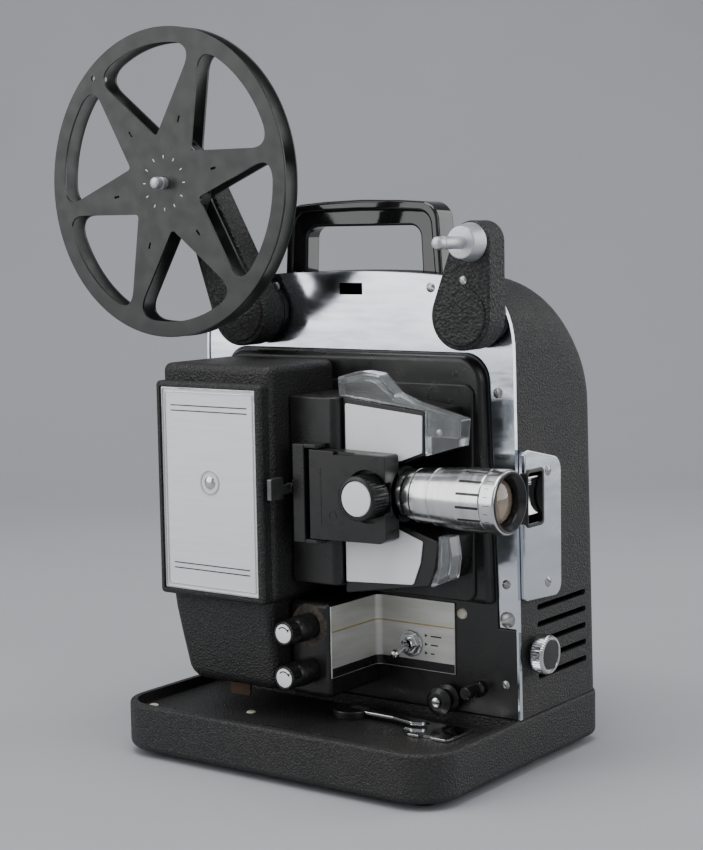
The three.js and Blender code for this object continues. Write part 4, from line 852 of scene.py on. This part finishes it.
def flange(front, back):
    disc = turned("y", [
        (3.7, front), (88.4, front), (REEL_RADIUS, front + 0.3), (REEL_RADIUS, back - 0.3), (88.4, back),
        (3.7, back), (3.7, front)], (REEL_X, 0, REEL_Z), 144)
    tools = [slab("xz", reel_window(FIRST_SPOKE + SPOKE_PITCH * n + 30), front - 2, back + 2)
             for n in range(SPOKES)]
    tools += [turn(slab("xz", rectangle(REEL_X + 36, REEL_X + 40, REEL_Z - 0.7, REEL_Z + 0.7, 0.6), front - 2,
                        back + 2), -FIRST_SPOKE - SPOKE_PITCH * n, "Y", (REEL_X, 0, REEL_Z))
              for n in range(SPOKES)]
    tools.append(bar("y", 1.6, front - 2, back + 2, (
        REEL_X + 82.4 * math.cos(math.radians(130.6)), 0, REEL_Z + 82.4 * math.sin(math.radians(130.6)))))
    return cut(disc, *tools)


piece("reel_front_flange_fine", flange(-46, -44.6), REEL, "reel_front_flange", soft=0.25)
piece("reel_rear_flange_fine", flange(-35.8, -34.4), REEL, "reel_rear_flange", soft=0.25)
core = turned("y", [(3.7, -44.3), (28.3, -44.3), (28.5, -44), (28.5, -36.4), (28.3, -36.1), (3.7, -36.1),
                    (3.7, -44.3)], (REEL_X, 0, REEL_Z), 72)
holes = [turn(box(REEL_X + 26, REEL_X + 30, -42, -38.4, REEL_Z - 1.6, REEL_Z + 1.6), 10 + 20 * n, "Y",
              (REEL_X, 0, REEL_Z)) for n in range(18)]
piece("reel_core_fine", cut(core, *holes), DARK_SATIN, "reel_core")
ticks = [turn(box(REEL_X + 14.2, REEL_X + 16, -46.08, -45.9, REEL_Z - 0.25, REEL_Z + 0.25), 30 * n, "Y",
              (REEL_X, 0, REEL_Z)) for n in range(12)]
piece("reel_ticks", join(*ticks), WHITE, "reel_front_flange", False)

# ---- Pieces inside the case keep their CAD form -----------------------------------------
INSIDE = {
    "foot_rubber": RUBBER, "belt_rubber": RUBBER, "motor_steel": MOTOR, "bright_steel": STEEL,
    "clear_glass": LAMP,
}
for node, obj in frame["nodes"].items():
    if node in replaced:
        continue
    obj.data.materials.clear()
    obj.data.materials.append(INSIDE[SLOT[node]])

# ---- Studio -----------------------------------------------------------------------------
AZIMUTH = math.radians(36.24)
ELEVATION = math.radians(6.13)
ROLL = -0.01726
FOCAL = 78.2
EYE = (0.6502, -0.8509, 0.3011)


def towards(azimuth, elevation, distance):
    """A place in metres at an azimuth and elevation from the object's middle."""
    a, e = math.radians(azimuth), math.radians(elevation)
    return Vector((math.sin(a) * math.cos(e), -math.cos(a) * math.cos(e), math.sin(e))) * distance + MIDDLE


MIDDLE = Vector((0.03, 0, 0.17))
back = Vector((math.sin(AZIMUTH) * math.cos(ELEVATION), -math.cos(AZIMUTH) * math.cos(ELEVATION),
               math.sin(ELEVATION)))
level = Vector((math.cos(AZIMUTH), math.sin(AZIMUTH), 0))
upright = back.cross(level)
right = level * math.cos(ROLL) + upright * math.sin(ROLL)
up = upright * math.cos(ROLL) - level * math.sin(ROLL)
camera = bpy.data.objects.new("camera", bpy.data.cameras.new("camera"))
camera.data.lens = FOCAL
camera.data.clip_start = 0.01
aimed = Matrix((right, up, back)).transposed().to_4x4()
camera.matrix_world = Matrix.Translation(EYE) @ aimed
bpy.context.scene.collection.objects.link(camera)
bpy.context.scene.camera = camera

profile = [(-3.5, 0), (1.0, 0)] + [(1.0 + 0.8 * math.sin(a), 0.8 - 0.8 * math.cos(a))
                                   for a in [math.pi / 2 * n / 16 for n in range(1, 17)]] + [(1.8, 3.5)]
verts = [(side, along, height) for along, height in profile for side in (-4, 4)]
faces = [(2 * n, 2 * n + 1, 2 * n + 3, 2 * n + 2) for n in range(len(profile) - 1)]
ground = bpy.data.meshes.new("backdrop")
ground.from_pydata(verts, [], faces)
ground.shade_smooth()
ground.materials.append(finish("backdrop_paper", (0.38, 0.39, 0.405, 1), (0.365, 0.375, 0.39, 1),
                               (0.75, 0.9), 3, 300, 0.02))
floor = bpy.data.objects.new("backdrop", ground)
floor.rotation_euler.z = AZIMUTH
bpy.context.scene.collection.objects.link(floor)


def softbox(name, azimuth, elevation, distance, width, height, power):
    light = bpy.data.lights.new(name, "AREA")
    light.shape = "RECTANGLE"
    light.size = width
    light.size_y = height
    light.energy = power
    obj = bpy.data.objects.new(name, light)
    obj.location = towards(azimuth, elevation, distance)
    obj.rotation_euler = (MIDDLE - obj.location).to_track_quat("-Z", "Y").to_euler()
    bpy.context.scene.collection.objects.link(obj)


softbox("key", -38, 25, 1.9, 1.5, 2.0, 21)
softbox("top", 10, 78, 1.6, 1.3, 1.3, 24)
softbox("side", 140, 17, 1.6, 1.1, 1.5, 11)
softbox("fill", 75, 20, 2.2, 1.0, 1.2, 8)

world = bpy.data.worlds.new("studio")
world.use_nodes = True
world.node_tree.nodes["Background"].inputs["Color"].default_value = (0.62, 0.65, 0.70, 1)
world.node_tree.nodes["Background"].inputs["Strength"].default_value = 0.55
bpy.context.scene.world = world
